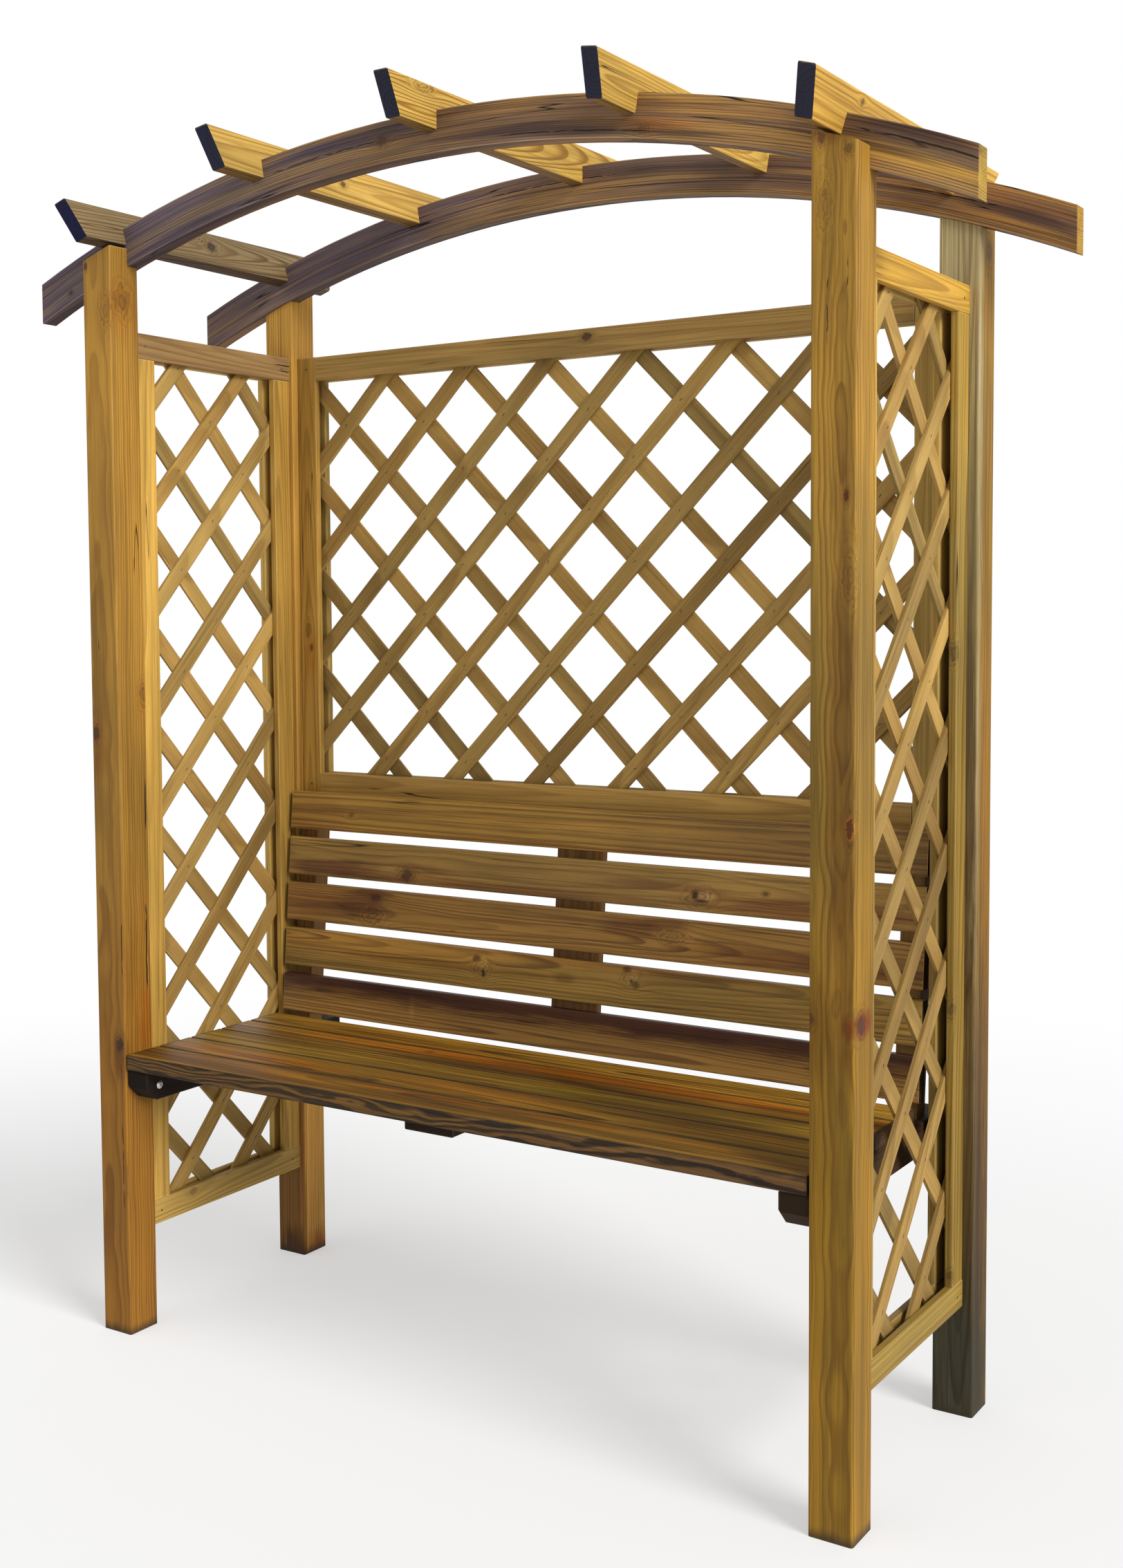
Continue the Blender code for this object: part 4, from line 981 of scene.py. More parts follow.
def finish_material(name, look, board_place, end, values, to_board=tuple):
    """A timber material with rings, knots, checks, splits, stains and wear, and painted shade and
    sunlight.

    board_place(sheet) gives the board's place and half size, and to_board turns a point of the
    bench into it. values holds this piece's own seed, pith, drift, wave, ripple, tint and marks,
    and what it leaves out is as on a plain board.
    """
    material, s, shader = start_material(name)
    board, half = board_place(s)
    marks = dict.fromkeys(("Push", "Disc", "Rings", "Halo", "Cover", "Oval"), 0.0)
    for point, size, stretch, depth, show in values.get("knots", ()):
        out = s.use(
            group("knot"), Board=board, Centre=to_board(point), Size=size, Stretch=stretch,
            Depth=depth, Show=show, **marks)
        marks = {key: out[key] for key in marks}
    seed = values.get("seed", 0.5)
    spacing = look.ring_spacing * values.get("spacing", 1)
    grain = s.use(
        group("grain"), Board=board, Seed=seed, Spacing=spacing,
        Pith=values.get("pith", (0, 0.01, 0.05)), Drift=values.get("drift", (0, 0, 0.01)),
        Wave=values.get("wave", 0.012), Ripple=values.get("ripple", 0.0), Push=marks["Push"])
    check = s.use(group("checks"), Board=board, Seed=seed, Amount=values.get("checks", 0.2))[0]
    for point, run, width in values.get("splits", ()):
        check = s.use(
            group("split"), Board=board, Start=to_board(point), Length=run, Width=width,
            Check=check)[0]
    feeds = {key: grain[key] for key in ("Fibre", "Streak", "Tone", "Fleck")}
    feeds.update({key: marks[key] for key in ("Disc", "Rings", "Halo")})
    feeds["Late"] = s.lerp(marks["Cover"], grain["Late"], marks["Oval"])
    feeds["Vein"] = s.sum("MULTIPLY", grain["Vein"], values.get("veins", 0.3))
    edge = s.use(group("edges"), Board=board, Half=half, Width=values.get("wear", 0.0026))[0]
    worn = [0.65 * part + 0.35 * pale for part, pale in zip(look.light, WORN)]
    normal = s.place("ShaderNodeTexCoord").outputs["Normal"]
    facing = s.sum("ABSOLUTE", s.turn("DOT_PRODUCT", normal, end))
    out = s.use(
        group("surface"), Check=check, Edge=edge, End=s.step(facing, 0.75, 0.9), Light=look.light,
        Dark=look.dark, Stain=look.streak, End_Colour=look.end,
        Knot=KNOT, Tint=values.get("tint", (1, 1, 1)),
        Wear=0.9 if "worn" in values else 0.5, Worn=values.get("worn", worn),
        Contrast=look.contrast * values.get("contrast", 1), Stain_Amount=values.get("stain", 0.5),
        Base_Roughness=look.roughness, **feeds)
    paint = out["Color"]
    if values.get("zebra"):
        front = s.step(s.turn("DOT_PRODUCT", normal, (0, -1, 0)), 0.4, 0.8)
        paint = s.use(
            group("zebra"), Paint=paint, Board=board, Bands=values["zebra"],
            Show=s.sum("MULTIPLY", front, 0.9))[0]
    # Painted shade on faces that look down.
    if values.get("under"):
        below = s.step(s.turn("DOT_PRODUCT", normal, (0, 0, -1)), 0.5, 0.8)
        tinted = s.blend(1, paint, UNDERSIDE_SHADE, "MULTIPLY")
        paint = s.blend(s.sum("MULTIPLY", below, values["under"]), paint, tinted)
    # Patches: stains, and on some boards painted sunlight and painted shade.
    for point, reach, tint, strength in values.get("patches", ()):
        paint = s.use(
            group("patch"), Paint=paint, Board=board, Centre=to_board(point), Reach=reach,
            Tint=tint, Strength=strength)[0]
    place = s.place("ShaderNodeTexCoord").outputs["Object"]
    # Painted shade low down and painted sunlight high up.
    if values.get("fade"):
        low, high = values["fade"]
        paint = s.use(group("fade"), Paint=paint, Place=place, Low=low, High=high)[0]
    if values.get("damp"):
        damp = s.use(group("damp"), Place=place, Reach=values["damp"])[0]
        paint = s.blend(s.sum("MULTIPLY", damp, 0.85), paint, DAMP)
    feed_timber(s, shader, paint, out, 0.45)
    return material


def give_material(node, material):
    """Puts one material on all of a CAD piece."""
    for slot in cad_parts[node].material_slots:
        slot.material = material


def finish_board(node, look, grain, across, **values):
    """Gives a straight CAD piece its own timber material."""
    board = lay_board(node, grain, across)
    to_local = board.turn.to_matrix().transposed()

    def place(s):
        source = s.place("ShaderNodeTexCoord").outputs["Object"]
        mapping = s.place("ShaderNodeMapping", {"vector_type": "TEXTURE"}, Vector=source)
        mapping.inputs["Location"].default_value = board.middle
        mapping.inputs["Rotation"].default_value = board.turn
        return mapping.outputs[0], board.half

    def to_board(point):
        return to_local @ (Vector(point) - board.middle)

    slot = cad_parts[node].data.materials[0].name.split(".")[0]
    values.update(MARKS.get(node, {}))
    give_material(
        node, finish_material(f"{slot}.{node}", look, place, board.grain, values, to_board))


def random_values(number, spread=0.1):
    """Seed, pith, drift, stain and a small tint of a board, the same for the same number."""
    dice = np.random.default_rng(number)
    level = 1 + spread * (dice.random() - 0.5) * 2
    warm = spread * 0.5 * (dice.random() - 0.5)
    return {
        "seed": float(number % 97) + 0.5,
        "pith": (
            0, float(dice.uniform(-0.03, 0.03)),
            float(dice.uniform(0.02, 0.07)) * dice.choice((-1, 1))),
        "drift": (0, float(dice.uniform(-0.006, 0.006)), float(dice.uniform(-0.03, 0.03))),
        "tint": (level * (1 + warm), level, level * (1 - warm)),
        "stain": float(dice.uniform(0.3, 0.6)),
    }


class ARBOR_OT_posts(Operator):
    """Finish the four posts, each with its own rings, knots, checks and a damp foot, with painted
    shade low down and painted sunlight high up
    """

    bl_idname = "arbor.posts"
    bl_label = "Finish the posts"

    def execute(self, context):
        look = context.scene.arbor_bench.posts
        for number, node in enumerate(POSTS):
            values = random_values(11 + number, 0.06)
            # Each post gets painted shade low down and painted sunlight high up.
            values.update(damp=0.014, checks=0.1, fade=(0.78, 1.28), contrast=1.15)
            finish_board(node, look, (0, 0, 1), (1, 0, 0), **values)
        return {"FINISHED"}


class ARBOR_OT_arches(Operator):
    """Finish the two laminated arches, their grain bent along the curve"""

    bl_idname = "arbor.arches"
    bl_label = "Finish the arches"

    def execute(self, context):
        look = context.scene.arbor_bench.arches
        for number, row in enumerate(ROWS):
            node = f"{row}_arch"
            lo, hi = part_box(node)
            middle_y = (lo.y + hi.y) / 2

            def place(s):
                source = s.place("ShaderNodeTexCoord").outputs["Object"]
                centred = s.turn("SUBTRACT", source, (0, middle_y, 0))
                board = s.use(group("arch_lay"), Place=centred)[0]
                return board, Vector((ARCH_HALF_LENGTH, ARCH_DEPTH / 2, (hi.y - lo.y) / 2))

            def to_board(point):
                x, y, z = point
                up = z - ARCH_CENTRE_Z
                along = math.atan2(x, up) * ARCH_MIDDLE_RADIUS
                return Vector((along, math.hypot(x, up) - ARCH_MIDDLE_RADIUS, y - middle_y))

            values = random_values(31 + number, 0.04)
            # The arches' undersides get painted shade.
            values.update(
                stain=0.9, wave=0.02, pith=(0, 0.12, 0.01), drift=(0, 0.004, 0), veins=0.9,
                checks=0.32, contrast=1.2, under=0.5)
            values.update(MARKS.get(node, {}))
            give_material(node, finish_material(
                f"arch_glulam.{node}", look, place, (1, 0, 0), values, to_board))
        return {"FINISHED"}


class ARBOR_OT_rafters(Operator):
    """Finish the five rafters with flat-sawn figure on their sides and dark sawn ends, their
    near-black blue partly painted shade
    """

    bl_idname = "arbor.rafters"
    bl_label = "Finish the rafters"

    def execute(self, context):
        look = context.scene.arbor_bench.rafters
        for number in range(1, 6):
            node = f"rafter_{number}"
            lo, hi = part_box(node)
            up = Vector(((lo.x + hi.x) / 2, 0, (lo.z + hi.z) / 2 - ARCH_CENTRE_Z))
            values = random_values(50 + number, 0.06)
            # The rafters' undersides get painted shade.
            values.update(under=0.85, veins=0.45)
            finish_board(node, look, (0, 1, 0), up, **values)
        return {"FINISHED"}


def battens():
    """Every batten of the trellis frames, as its panel, face and end."""
    return [
        (panel, face, end) for panel in PANELS for face in panel.faces for end in RAILS + STILES]


class ARBOR_OT_frames(Operator):
    """Finish the twenty-four battens of the trellis frames"""

    bl_idname = "arbor.frames"
    bl_label = "Finish the trellis frames"

    def execute(self, context):
        look = context.scene.arbor_bench.frames
        for number, (panel, face, end) in enumerate(battens(), 101):
            along = (0, 1, 0) if panel.turn else (1, 0, 0)
            grain, across = (along, (0, 0, 1)) if end in RAILS else ((0, 0, 1), along)
            values = random_values(number)
            # The frames get painted shade low down and painted sunlight high up.
            values.update(fade=panel.frame_fade)
            finish_board(f"{panel.name}_{face}_{end}", look, grain, across, **values)
        return {"FINISHED"}


class ARBOR_OT_seat(Operator):
    """Finish the five seat slats with long orange and olive streaks"""

    bl_idname = "arbor.seat"
    bl_label = "Finish the seat"

    def execute(self, context):
        look = context.scene.arbor_bench.seat
        for number in range(1, 6):
            values = random_values(150 + number)
            # The seat's near-black edge colour is painted shade in the gaps between the slats.
            values.update(
                veins=0.9, wear=0.0062, worn=(0.016, 0.01, 0.005), contrast=1.15, stain=0.66)
            finish_board(f"seat_slat_{number}", look, (1, 0, 0), (0, 1, 0), **values)
        return {"FINISHED"}


class ARBOR_OT_backrest(Operator):
    """Finish the five back slats and their three supports"""

    bl_idname = "arbor.backrest"
    bl_label = "Finish the backrest"

    def execute(self, context):
        look = context.scene.arbor_bench.backrest
        up = (0, math.sin(BACK_LEAN), math.cos(BACK_LEAN))
        for number in range(1, 6):
            values = random_values(170 + number)
            values.update(veins=0.6, wear=0.002, contrast=1.3)
            finish_board(f"back_slat_{number}", look, (1, 0, 0), up, **values)
        for number, side in enumerate(("left", "middle", "right")):
            values = random_values(180 + number)
            finish_board(f"{side}_back_support", look, up, (1, 0, 0), **values)
        return {"FINISHED"}


class ARBOR_OT_bearers(Operator):
    """Finish the two seat bearers and the middle cleat, painted near black as shade under the seat"""

    bl_idname = "arbor.bearers"
    bl_label = "Finish the bearers"

    def execute(self, context):
        look = context.scene.arbor_bench.bearers
        for number, node in enumerate(("left_bearer", "right_bearer", "seat_cleat")):
            finish_board(node, look, (0, 1, 0), (0, 0, 1), **random_values(190 + number))
        return {"FINISHED"}


# ---------------------------------------------------------------------------------------------
# Laths
# ---------------------------------------------------------------------------------------------

def add_piece(name, mesh, material):
    """Links a new piece to the scene, gives it its material and lets it ride on the bench."""
    piece = bpy.data.objects.new(name, mesh)
    bpy.context.scene.collection.objects.link(piece)
    mesh.materials.append(material)
    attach(piece, "root")
    return piece


def tube_faces(rings, sides):
    """Quads between successive closed rings of points."""
    ring = np.arange(rings - 1)[:, None] * sides
    side = np.arange(sides)[None, :]
    after = (side + 1) % sides
    quads = np.stack((ring + side, ring + after, ring + sides + after, ring + sides + side), -1)
    return quads.reshape(-1, 4)


def lath_section(width, edge):
    """Section of a lath, as (across, through) points: square at the crossing, rounded outside.

    The outer corners follow a quarter circle of the edge radius in four steps.
    """
    turn = np.linspace(0, math.pi / 2, 5)
    across = width / 2 - edge + edge * np.sin(turn[::-1])
    through = LATH_THICKNESS - edge + edge * np.cos(turn[::-1])
    right = np.stack((across, through), 1)
    left = right[::-1] * (-1, 1)
    base = np.array(((-width / 2, LATH_SEAM), (width / 2, LATH_SEAM)))
    return np.vstack((right, left, base))


def lath_lines(panel, size, look):
    """Centre lines of all laths of a panel, each with its slope and both ends on the trimmed edge.

    A line of slope s keeps z - s x at one value. The lines lie one pitch apart up the panel, each
    with its own small shift.
    """
    half = size[0] / 2 - LATH_END_INSET
    low, high = LATH_END_INSET, size[1] - LATH_END_INSET
    lines = []
    for way, shifts in zip((1, -1), panel.shifts):
        slope = way * panel.slope
        first = panel.crossing[1] - slope * panel.crossing[0]
        start = math.ceil((low - half - first) / LATH_PITCH)
        stop = math.floor((high + half - first) / LATH_PITCH)
        kept = 0
        for step in range(start, stop + 1):
            level = first + step * LATH_PITCH + shifts[min(kept, len(shifts) - 1)] / 1000
            ends = sorted(((low - level) / slope, (high - level) / slope))
            left, right = max(-half, ends[0]), min(half, ends[1])
            if right - left > LATH_PITCH / 2 + look.width:
                lines.append((slope, left, right, level))
                kept += 1
    return lines


def lath_mesh(panel, size, look):
    """All laths of one panel as bars: a rounded section carried along each centre line.

    Place of a point is line(t) + across * normal + through * panel normal, and at each end it
    slides along the line until it meets the panel's edge.
    """
    section = lath_section(look.width, look.edge)
    sides = len(section)
    rings = LATH_RINGS
    points, faces, boards, seeds = [], [], [], []
    half = size[0] / 2 - LATH_END_INSET
    low, high = LATH_END_INSET, size[1] - LATH_END_INSET
    for index, (slope, left, right, level) in enumerate(lath_lines(panel, size, look)):
        t = np.linspace(left, right, rings)[:, None]
        line = np.concatenate((t, level + slope * t), 1)
        along = np.array((1, slope)) / math.hypot(1, slope)
        normal = np.array((-slope, 1)) / math.hypot(1, slope)
        across = np.tile(section[:, 0], (rings, 1))
        plane = line[:, None, :] + across[..., None] * normal
        for ring, x in ((0, left), (-1, right)):
            on_side = abs(abs(x) - half) < 1e-6
            ratio = along[1] / along[0] if on_side else -along[0] / along[1]
            plane[ring] += (across[ring] * ratio)[:, None] * along
        plane[..., 0] = np.clip(plane[..., 0], -half, half)
        plane[..., 1] = np.clip(plane[..., 1], low, high)
        through = np.tile(-math.copysign(1, slope) * section[:, 1], (rings, 1))
        count = sum(len(p) for p in points)
        points.append(np.stack((plane[..., 0], through, plane[..., 1]), -1).reshape(-1, 3))
        quads = tube_faces(rings, sides) + count
        first = count + np.arange(sides)
        caps = [list(first[::-1]), list(first + (rings - 1) * sides)]
        faces += quads.tolist() + caps
        run = plane @ along + index * LATH_STRIDE
        boards.append(np.stack((run, across, through), -1).reshape(-1, 3))
        seeds.append(np.full(rings * sides, index + 1.0))
    mesh = bpy.data.meshes.new(panel.name)
    mesh.from_pydata(np.vstack(points), [], faces)
    mesh.attributes.new("board", "FLOAT_VECTOR", "POINT").data.foreach_set(
        "vector", np.vstack(boards).ravel().astype(np.float32))
    mesh.attributes.new("lath", "FLOAT", "POINT").data.foreach_set(
        "value", np.concatenate(seeds).astype(np.float32))
    return mesh


def set_panel(mesh, panel, place):
    """Moves a panel's mesh from its own plane to its place and makes all faces point outwards."""
    mesh.transform(Matrix.Translation(place) @ Matrix.Rotation(panel.turn, 4, "Z"))
    face_out(mesh)


def panel_box(panel):
    """Foot of a panel's middle plane, and its width and height, from its eight battens."""
    boxes = [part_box(f"{panel.name}_{face}_{end}") for face in panel.faces for end in RAILS + STILES]
    lo = Vector([min(box[0][axis] for box in boxes) for axis in range(3)])
    hi = Vector([max(box[1][axis] for box in boxes) for axis in range(3)])
    middle = (lo + hi) / 2
    width = hi.x - lo.x if panel.turn == 0 else hi.y - lo.y
    return Vector((middle.x, middle.y, lo.z)), (width, hi.z - lo.z)


def lath_material(panel, look):
    """Sawn lath timber, its board place and its number read from the mesh's attributes."""
    material, s, shader = start_material(f"lath_pine.{panel.name}")
    board = s.place("ShaderNodeAttribute", {"attribute_name": "board"}).outputs["Vector"]
    number = s.place("ShaderNodeAttribute", {"attribute_name": "lath"}).outputs["Fac"]
    dice = s.place("ShaderNodeTexWhiteNoise", {"noise_dimensions": "1D"}, W=number).outputs
    spread = s.split(dice[1])
    pith_across = s.sum("MULTIPLY_ADD", spread[0], 0.06, -0.03)
    pith_through = s.sum("MULTIPLY_ADD", spread[1], 0.04, 0.01)
    pith = s.join(0, pith_across, pith_through)
    drift = s.join(0, 0, s.sum("MULTIPLY_ADD", spread[2], 0.06, -0.03))
    grain = s.use(
        group("grain"), Board=board, Seed=number, Spacing=look.ring_spacing, Pith=pith, Drift=drift,
        Wave=0.006, Push=0.0)
    check = s.use(group("checks"), Board=board, Seed=number, Amount=0.1)
    feeds = {name: grain[name] for name in ("Late", "Fibre", "Streak", "Tone", "Fleck")}
    feeds["Vein"] = s.sum("MULTIPLY", grain["Vein"], 0.35)
    level = s.sum("MULTIPLY_ADD", dice[0], 0.4, 0.8)
    warm = s.sum("MULTIPLY_ADD", spread[1], 0.12, 0.97)
    tint = s.join(s.sum("MULTIPLY", level, warm), level, s.sum("DIVIDE", level, warm))
    out = s.use(
        group("surface"), Check=check[0], Light=look.light, Dark=look.dark, Stain=look.streak,
        End_Colour=look.end, Knot=(0.13, 0.05, 0.016), Tint=tint, Contrast=look.contrast,
        Stain_Amount=0.45, Base_Roughness=look.roughness, Worn=WORN, Wear=0.0, Disc=0.0, Rings=0.0,
        Halo=0.0, Edge=0.0, End=0.0, **feeds)
    place = s.place("ShaderNodeTexCoord").outputs["Object"]
    # The laths get painted shade low down and painted sunlight high up.
    low, high = panel.lath_fade
    paint = s.use(group("fade"), Paint=out["Color"], Place=place, Low=low, High=high)[0]
    feed_timber(s, shader, paint, out, 0.5)
    return material


class ARBOR_OT_laths(Operator):
    """Lay the crossed laths of the three trellis panels in place of their plain lattices"""

    bl_idname = "arbor.laths"
    bl_label = "Lay the laths"

    def execute(self, context):
        look = context.scene.arbor_bench.laths
        for panel in PANELS:
            material = lath_material(panel, look)
            foot, size = panel_box(panel)
            mesh = lath_mesh(panel, size, look)
            set_panel(mesh, panel, foot)
            piece = add_piece(f"{panel.name}_laths", mesh, material)
            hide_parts(f"{panel.name}_lattice")
        return {"FINISHED"}


# ---------------------------------------------------------------------------------------------
# Fixings
# ---------------------------------------------------------------------------------------------

def screw_points(look, run):
    """Rings of points of one bearer screw along X, tip first, and the count of sides.

    Distance from the axis is the core radius plus a ridge where the length over the pitch, less
    the turn, is near a whole number; it shrinks to the tip. The head is a washer and a dome, and
    in its middle the wall of the recess lies at a radius that swells six times round.
    """
    sides, thread_rings, thread_end, ridge_half, tip = 24, 80, -0.028, 0.22, 0.012
    turn = np.linspace(0, 2 * math.pi, sides, endpoint=False)[None, :]
    x = np.linspace(-run, thread_end, thread_rings)[:, None]
    part = (x / look.thread_pitch - turn / (2 * math.pi)) % 1
    ridge = np.clip(1 - np.abs(part - 0.5) / ridge_half, 0, 1)
    taper = np.clip((x + run) / tip, 0.02, 1)
    thread = (look.screw_shank + look.thread_height * ridge) * taper
    rows = [(x + 0 * turn, thread)]
    shank, head, rise = look.screw_shank, look.screw_head, look.screw_rise
    star = head * (0.33 + 0.06 * np.cos(6 * turn))
    for place, radius in (
            (-0.026, shank), (-0.003, shank), (0, shank * 1.2), (0, head * 0.97),
            (rise * 0.06, head), (rise * 0.22, head), (rise * 0.3, head * 0.93),
            (rise * 0.62, head * 0.8), (rise * 0.86, head * 0.62), (rise * 0.97, head * 0.48),
            (rise, star * 1.1), (rise * 0.93, star), (rise * 0.35, star * 0.92),
            (rise * 0.3, star * 0.3)):
        rows.append((np.full_like(turn, place), radius + 0 * turn))
    place = np.vstack([row[0] for row in rows])
    radius = np.vstack([row[1] for row in rows])
    return np.stack((place, radius * np.cos(turn), radius * np.sin(turn)), -1), sides


def closed_mesh(name, points, sides):
    """A mesh of rings of points, closed by one face at each end, with its faces outwards."""
    rings = len(points)
    caps = [list(range(sides)), list(range((rings - 1) * sides, rings * sides))]
    mesh = bpy.data.meshes.new(name)
    mesh.from_pydata(points.reshape(-1, 3), [], tube_faces(rings, sides).tolist() + caps)
    face_out(mesh)
    return mesh


def face_out(mesh):
    """Makes all faces of closed shells point outwards."""
    bm = bmesh.new()
    bm.from_mesh(mesh)
    bmesh.ops.recalc_face_normals(bm, faces=bm.faces)
    bm.to_mesh(mesh)
    bm.free()


def spread_mesh(name, points, sides, places, axes):
    """Many copies of one small shell of rings: each point is its place plus its own three axes."""
    rings, count = len(points), len(places)
    flat = points.reshape(-1, 3)
    spots = np.asarray(places)[:, None, :] + np.einsum("pk,nkj->npj", flat, np.asarray(axes))
    one = tube_faces(rings, sides)
    shift = (np.arange(count) * len(flat))[:, None, None]
    quads = (one[None] + shift).reshape(-1, 4).tolist()
    ends = np.stack((np.arange(sides), (rings - 1) * sides + np.arange(sides)))
    caps = (ends[None] + shift).reshape(-1, sides).tolist()
    mesh = bpy.data.meshes.new(name)
    mesh.from_pydata(spots.reshape(-1, 3), [], quads + caps)
    face_out(mesh)
    return mesh


def nail_points(look):
    """Rings of a flat nail head along X: a disc with a rounded rim, its middle a little lower.

    Each row of the profile is a share of the head's height and a share of its radius.
    """
    sides, root = 12, -0.0012
    turn = np.linspace(0, 2 * math.pi, sides, endpoint=False)[None, :]
    radius, rise = look.nail_radius, look.nail_rise
    profile = np.array(((-0.001, 0.9), (0.2, 1), (0.75, 0.97), (1, 0.8), (0.8, 0.25)))
    place = profile[:, :1] * rise + 0 * turn
    place[0] = root
    away = profile[:, 1:] * radius + 0 * turn
    return np.stack((place, away * np.cos(turn), away * np.sin(turn)), -1), sides


def nail_places():
    """Where the frame nails are: in each corner of each frame, on the face away from the laths."""
    places, axes = [], []
    for panel in PANELS:
        axis = 0 if panel.turn else 1
        along = 1 - axis
        for face, rail, stile in product(panel.faces, RAILS, STILES):
            low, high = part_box(f"{panel.name}_{face}_{rail}")
            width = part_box(f"{panel.name}_{face}_{stile}")
            spot = Vector((0, 0, (low.z + high.z) / 2))
            spot[along] = (width[0][along] + width[1][along]) / 2
            out = 1 if (face in ("inner", "rear")) == (panel.name != "right_trellis") else -1
            spot[axis] = high[axis] if out > 0 else low[axis]
            places.append(spot)
            side, other = [0, 0, 0], [0, 0, 0]
            side[axis] = out
            other[along] = 1
            axes.append((side, other, (0, 0, 1)))
    return places, axes


def staple_points(look):
    """Rings of a staple's crown: a flattened wire whose path is a bar with both ends bent down.

    Height over the wood follows one less the eighth power of the share of the half length.
    """
    rings, sides, drop = 9, 6, 0.0016
    share_out = np.linspace(-1, 1, rings)[:, None]
    turn = np.linspace(0, 2 * math.pi, sides, endpoint=False)[None, :]
    wire = look.staple_wire / 2
    across = share_out * look.staple_crown / 2 + 0 * turn
    height = wire * 0.35 - drop * np.abs(share_out) ** 8 + wire * 0.7 * np.cos(turn)
    return np.stack((height, across, wire * np.sin(turn) + 0 * share_out), -1), sides


def staple_places(look):
    """One staple at each crossing of two laths, on the panel's front or right-hand face.

    Two lines of opposite slope cross where half the difference of their levels, over the slope,
    gives x, and half their sum gives z.
    """
    dice = np.random.default_rng(5)
    margin, uneven, lean_spread = 0.02, 0.003, 0.25
    places, axes = [], []
    for panel in PANELS:
        foot, size = panel_box(panel)
        lines = lath_lines(panel, size, look)
        up = np.array([line[1:] for line in lines if line[0] > 0])
        down = np.array([line[1:] for line in lines if line[0] < 0])
        x = (down[None, :, 2] - up[:, None, 2]) / 2 / panel.slope
        z = (down[None, :, 2] + up[:, None, 2]) / 2
        inside = (x > up[:, None, 0] + margin) & (x < up[:, None, 1] - margin)
        inside &= (x > down[None, :, 0] + margin) & (x < down[None, :, 1] - margin)
        turn = np.array(Matrix.Rotation(panel.turn, 3, "Z"))
        x, z = x[inside], z[inside]
        x = x + dice.uniform(-uneven, uneven, len(x))
        z = z + dice.uniform(-uneven, uneven, len(z))
        flat = np.stack((x, np.full_like(x, -LATH_THICKNESS), z), 1)
        places.append(flat @ turn.T + np.array(foot))
        lean = dice.normal(0, lean_spread, len(x)) + math.pi / 4
        out = np.tile((0.0, -1.0, 0.0), (len(x), 1))
        along = np.stack((np.cos(lean), 0 * lean, np.sin(lean)), 1)
        side = np.cross(out, along)
        axes.append(np.stack((out, along, side), 1) @ turn.T)
    return np.vstack(places), np.vstack(axes)


def metal_material(name, base, dull, amount):
    """Plated steel with a mottled dull coat and fine scratches."""
    material, s, shader = start_material(name)
    place = s.place("ShaderNodeTexCoord").outputs["Object"]
    blotch = s.noise(s.turn("MULTIPLY", place, (420, 420, 420)), 3, 0.6)[0]
    scratch = s.noise(s.turn("MULTIPLY", place, (300, 4200, 900)), 1)[0]
    cover = s.step(blotch, 0.7 - amount * 0.5, 0.8 - amount * 0.4)
    s.feed(shader.inputs["Base Color"], s.blend(cover, base, dull))
    s.feed(shader.inputs["Metallic"], s.sum("SUBTRACT", 1, s.sum("MULTIPLY", cover, 0.85)))
    scratched = s.sum("MULTIPLY_ADD", scratch, 0.2, 0.24)
    s.feed(shader.inputs["Roughness"], s.sum("MULTIPLY_ADD", cover, 0.3, scratched))
    relief = s.sum("ADD", blotch, scratch)
    bump = s.place("ShaderNodeBump", Height=relief, Strength=0.2, Distance=0.0002)
    s.feed(shader.inputs["Normal"], bump.outputs[0])
    return material


class ARBOR_OT_fixings(Operator):
    """Turn the bearer screws and set the frame nails and lath staples"""

    bl_idname = "arbor.fixings"
    bl_label = "Set the fixings"

    def execute(self, context):
        look = context.scene.arbor_bench.fixings
        laths = context.scene.arbor_bench.laths
        zinc = metal_material("zinc_steel.screws", look.steel, look.rust, 0.2)
        dull = metal_material("zinc_steel.nails", look.steel, look.rust, 0.9)
        for row in ROWS:
            for hand, out in zip(HANDS, (1, -1)):
                node = f"{row}_{hand}_bearer_screw"
                low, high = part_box(node)
                seat = high.x - look.screw_rise if out > 0 else low.x + look.screw_rise
                run = high.x - low.x - look.screw_rise
                points, sides = screw_points(look, run)
                points = points * (out, 1, 1) + (seat, (low.y + high.y) / 2, (low.z + high.z) / 2)
                mesh = closed_mesh(f"{node}_turned", points, sides)
                piece = add_piece(f"{node}_turned", mesh, zinc)
                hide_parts(node)
        mesh = spread_mesh("frame_nails", *nail_points(look), *nail_places())
        add_piece("frame_nails", mesh, dull)
        mesh = spread_mesh("lath_staples", *staple_points(look), *staple_places(laths))
        add_piece("lath_staples", mesh, dull)
        return {"FINISHED"}


# ---------------------------------------------------------------------------------------------
# Stage
# ---------------------------------------------------------------------------------------------

def add_lamp(name, place, spread, level):
    """A far, wide lamp on the side of the given place, as even as light through a large screen."""
    lamp = bpy.data.lights.new(name, "SUN")
    lamp.angle = spread
    lamp.energy = level
    holder = bpy.data.objects.new(name, lamp)
    holder.location = place
    holder.rotation_euler = (-Vector(place)).to_track_quat("-Z", "Y").to_euler()
    bpy.context.scene.collection.objects.link(holder)


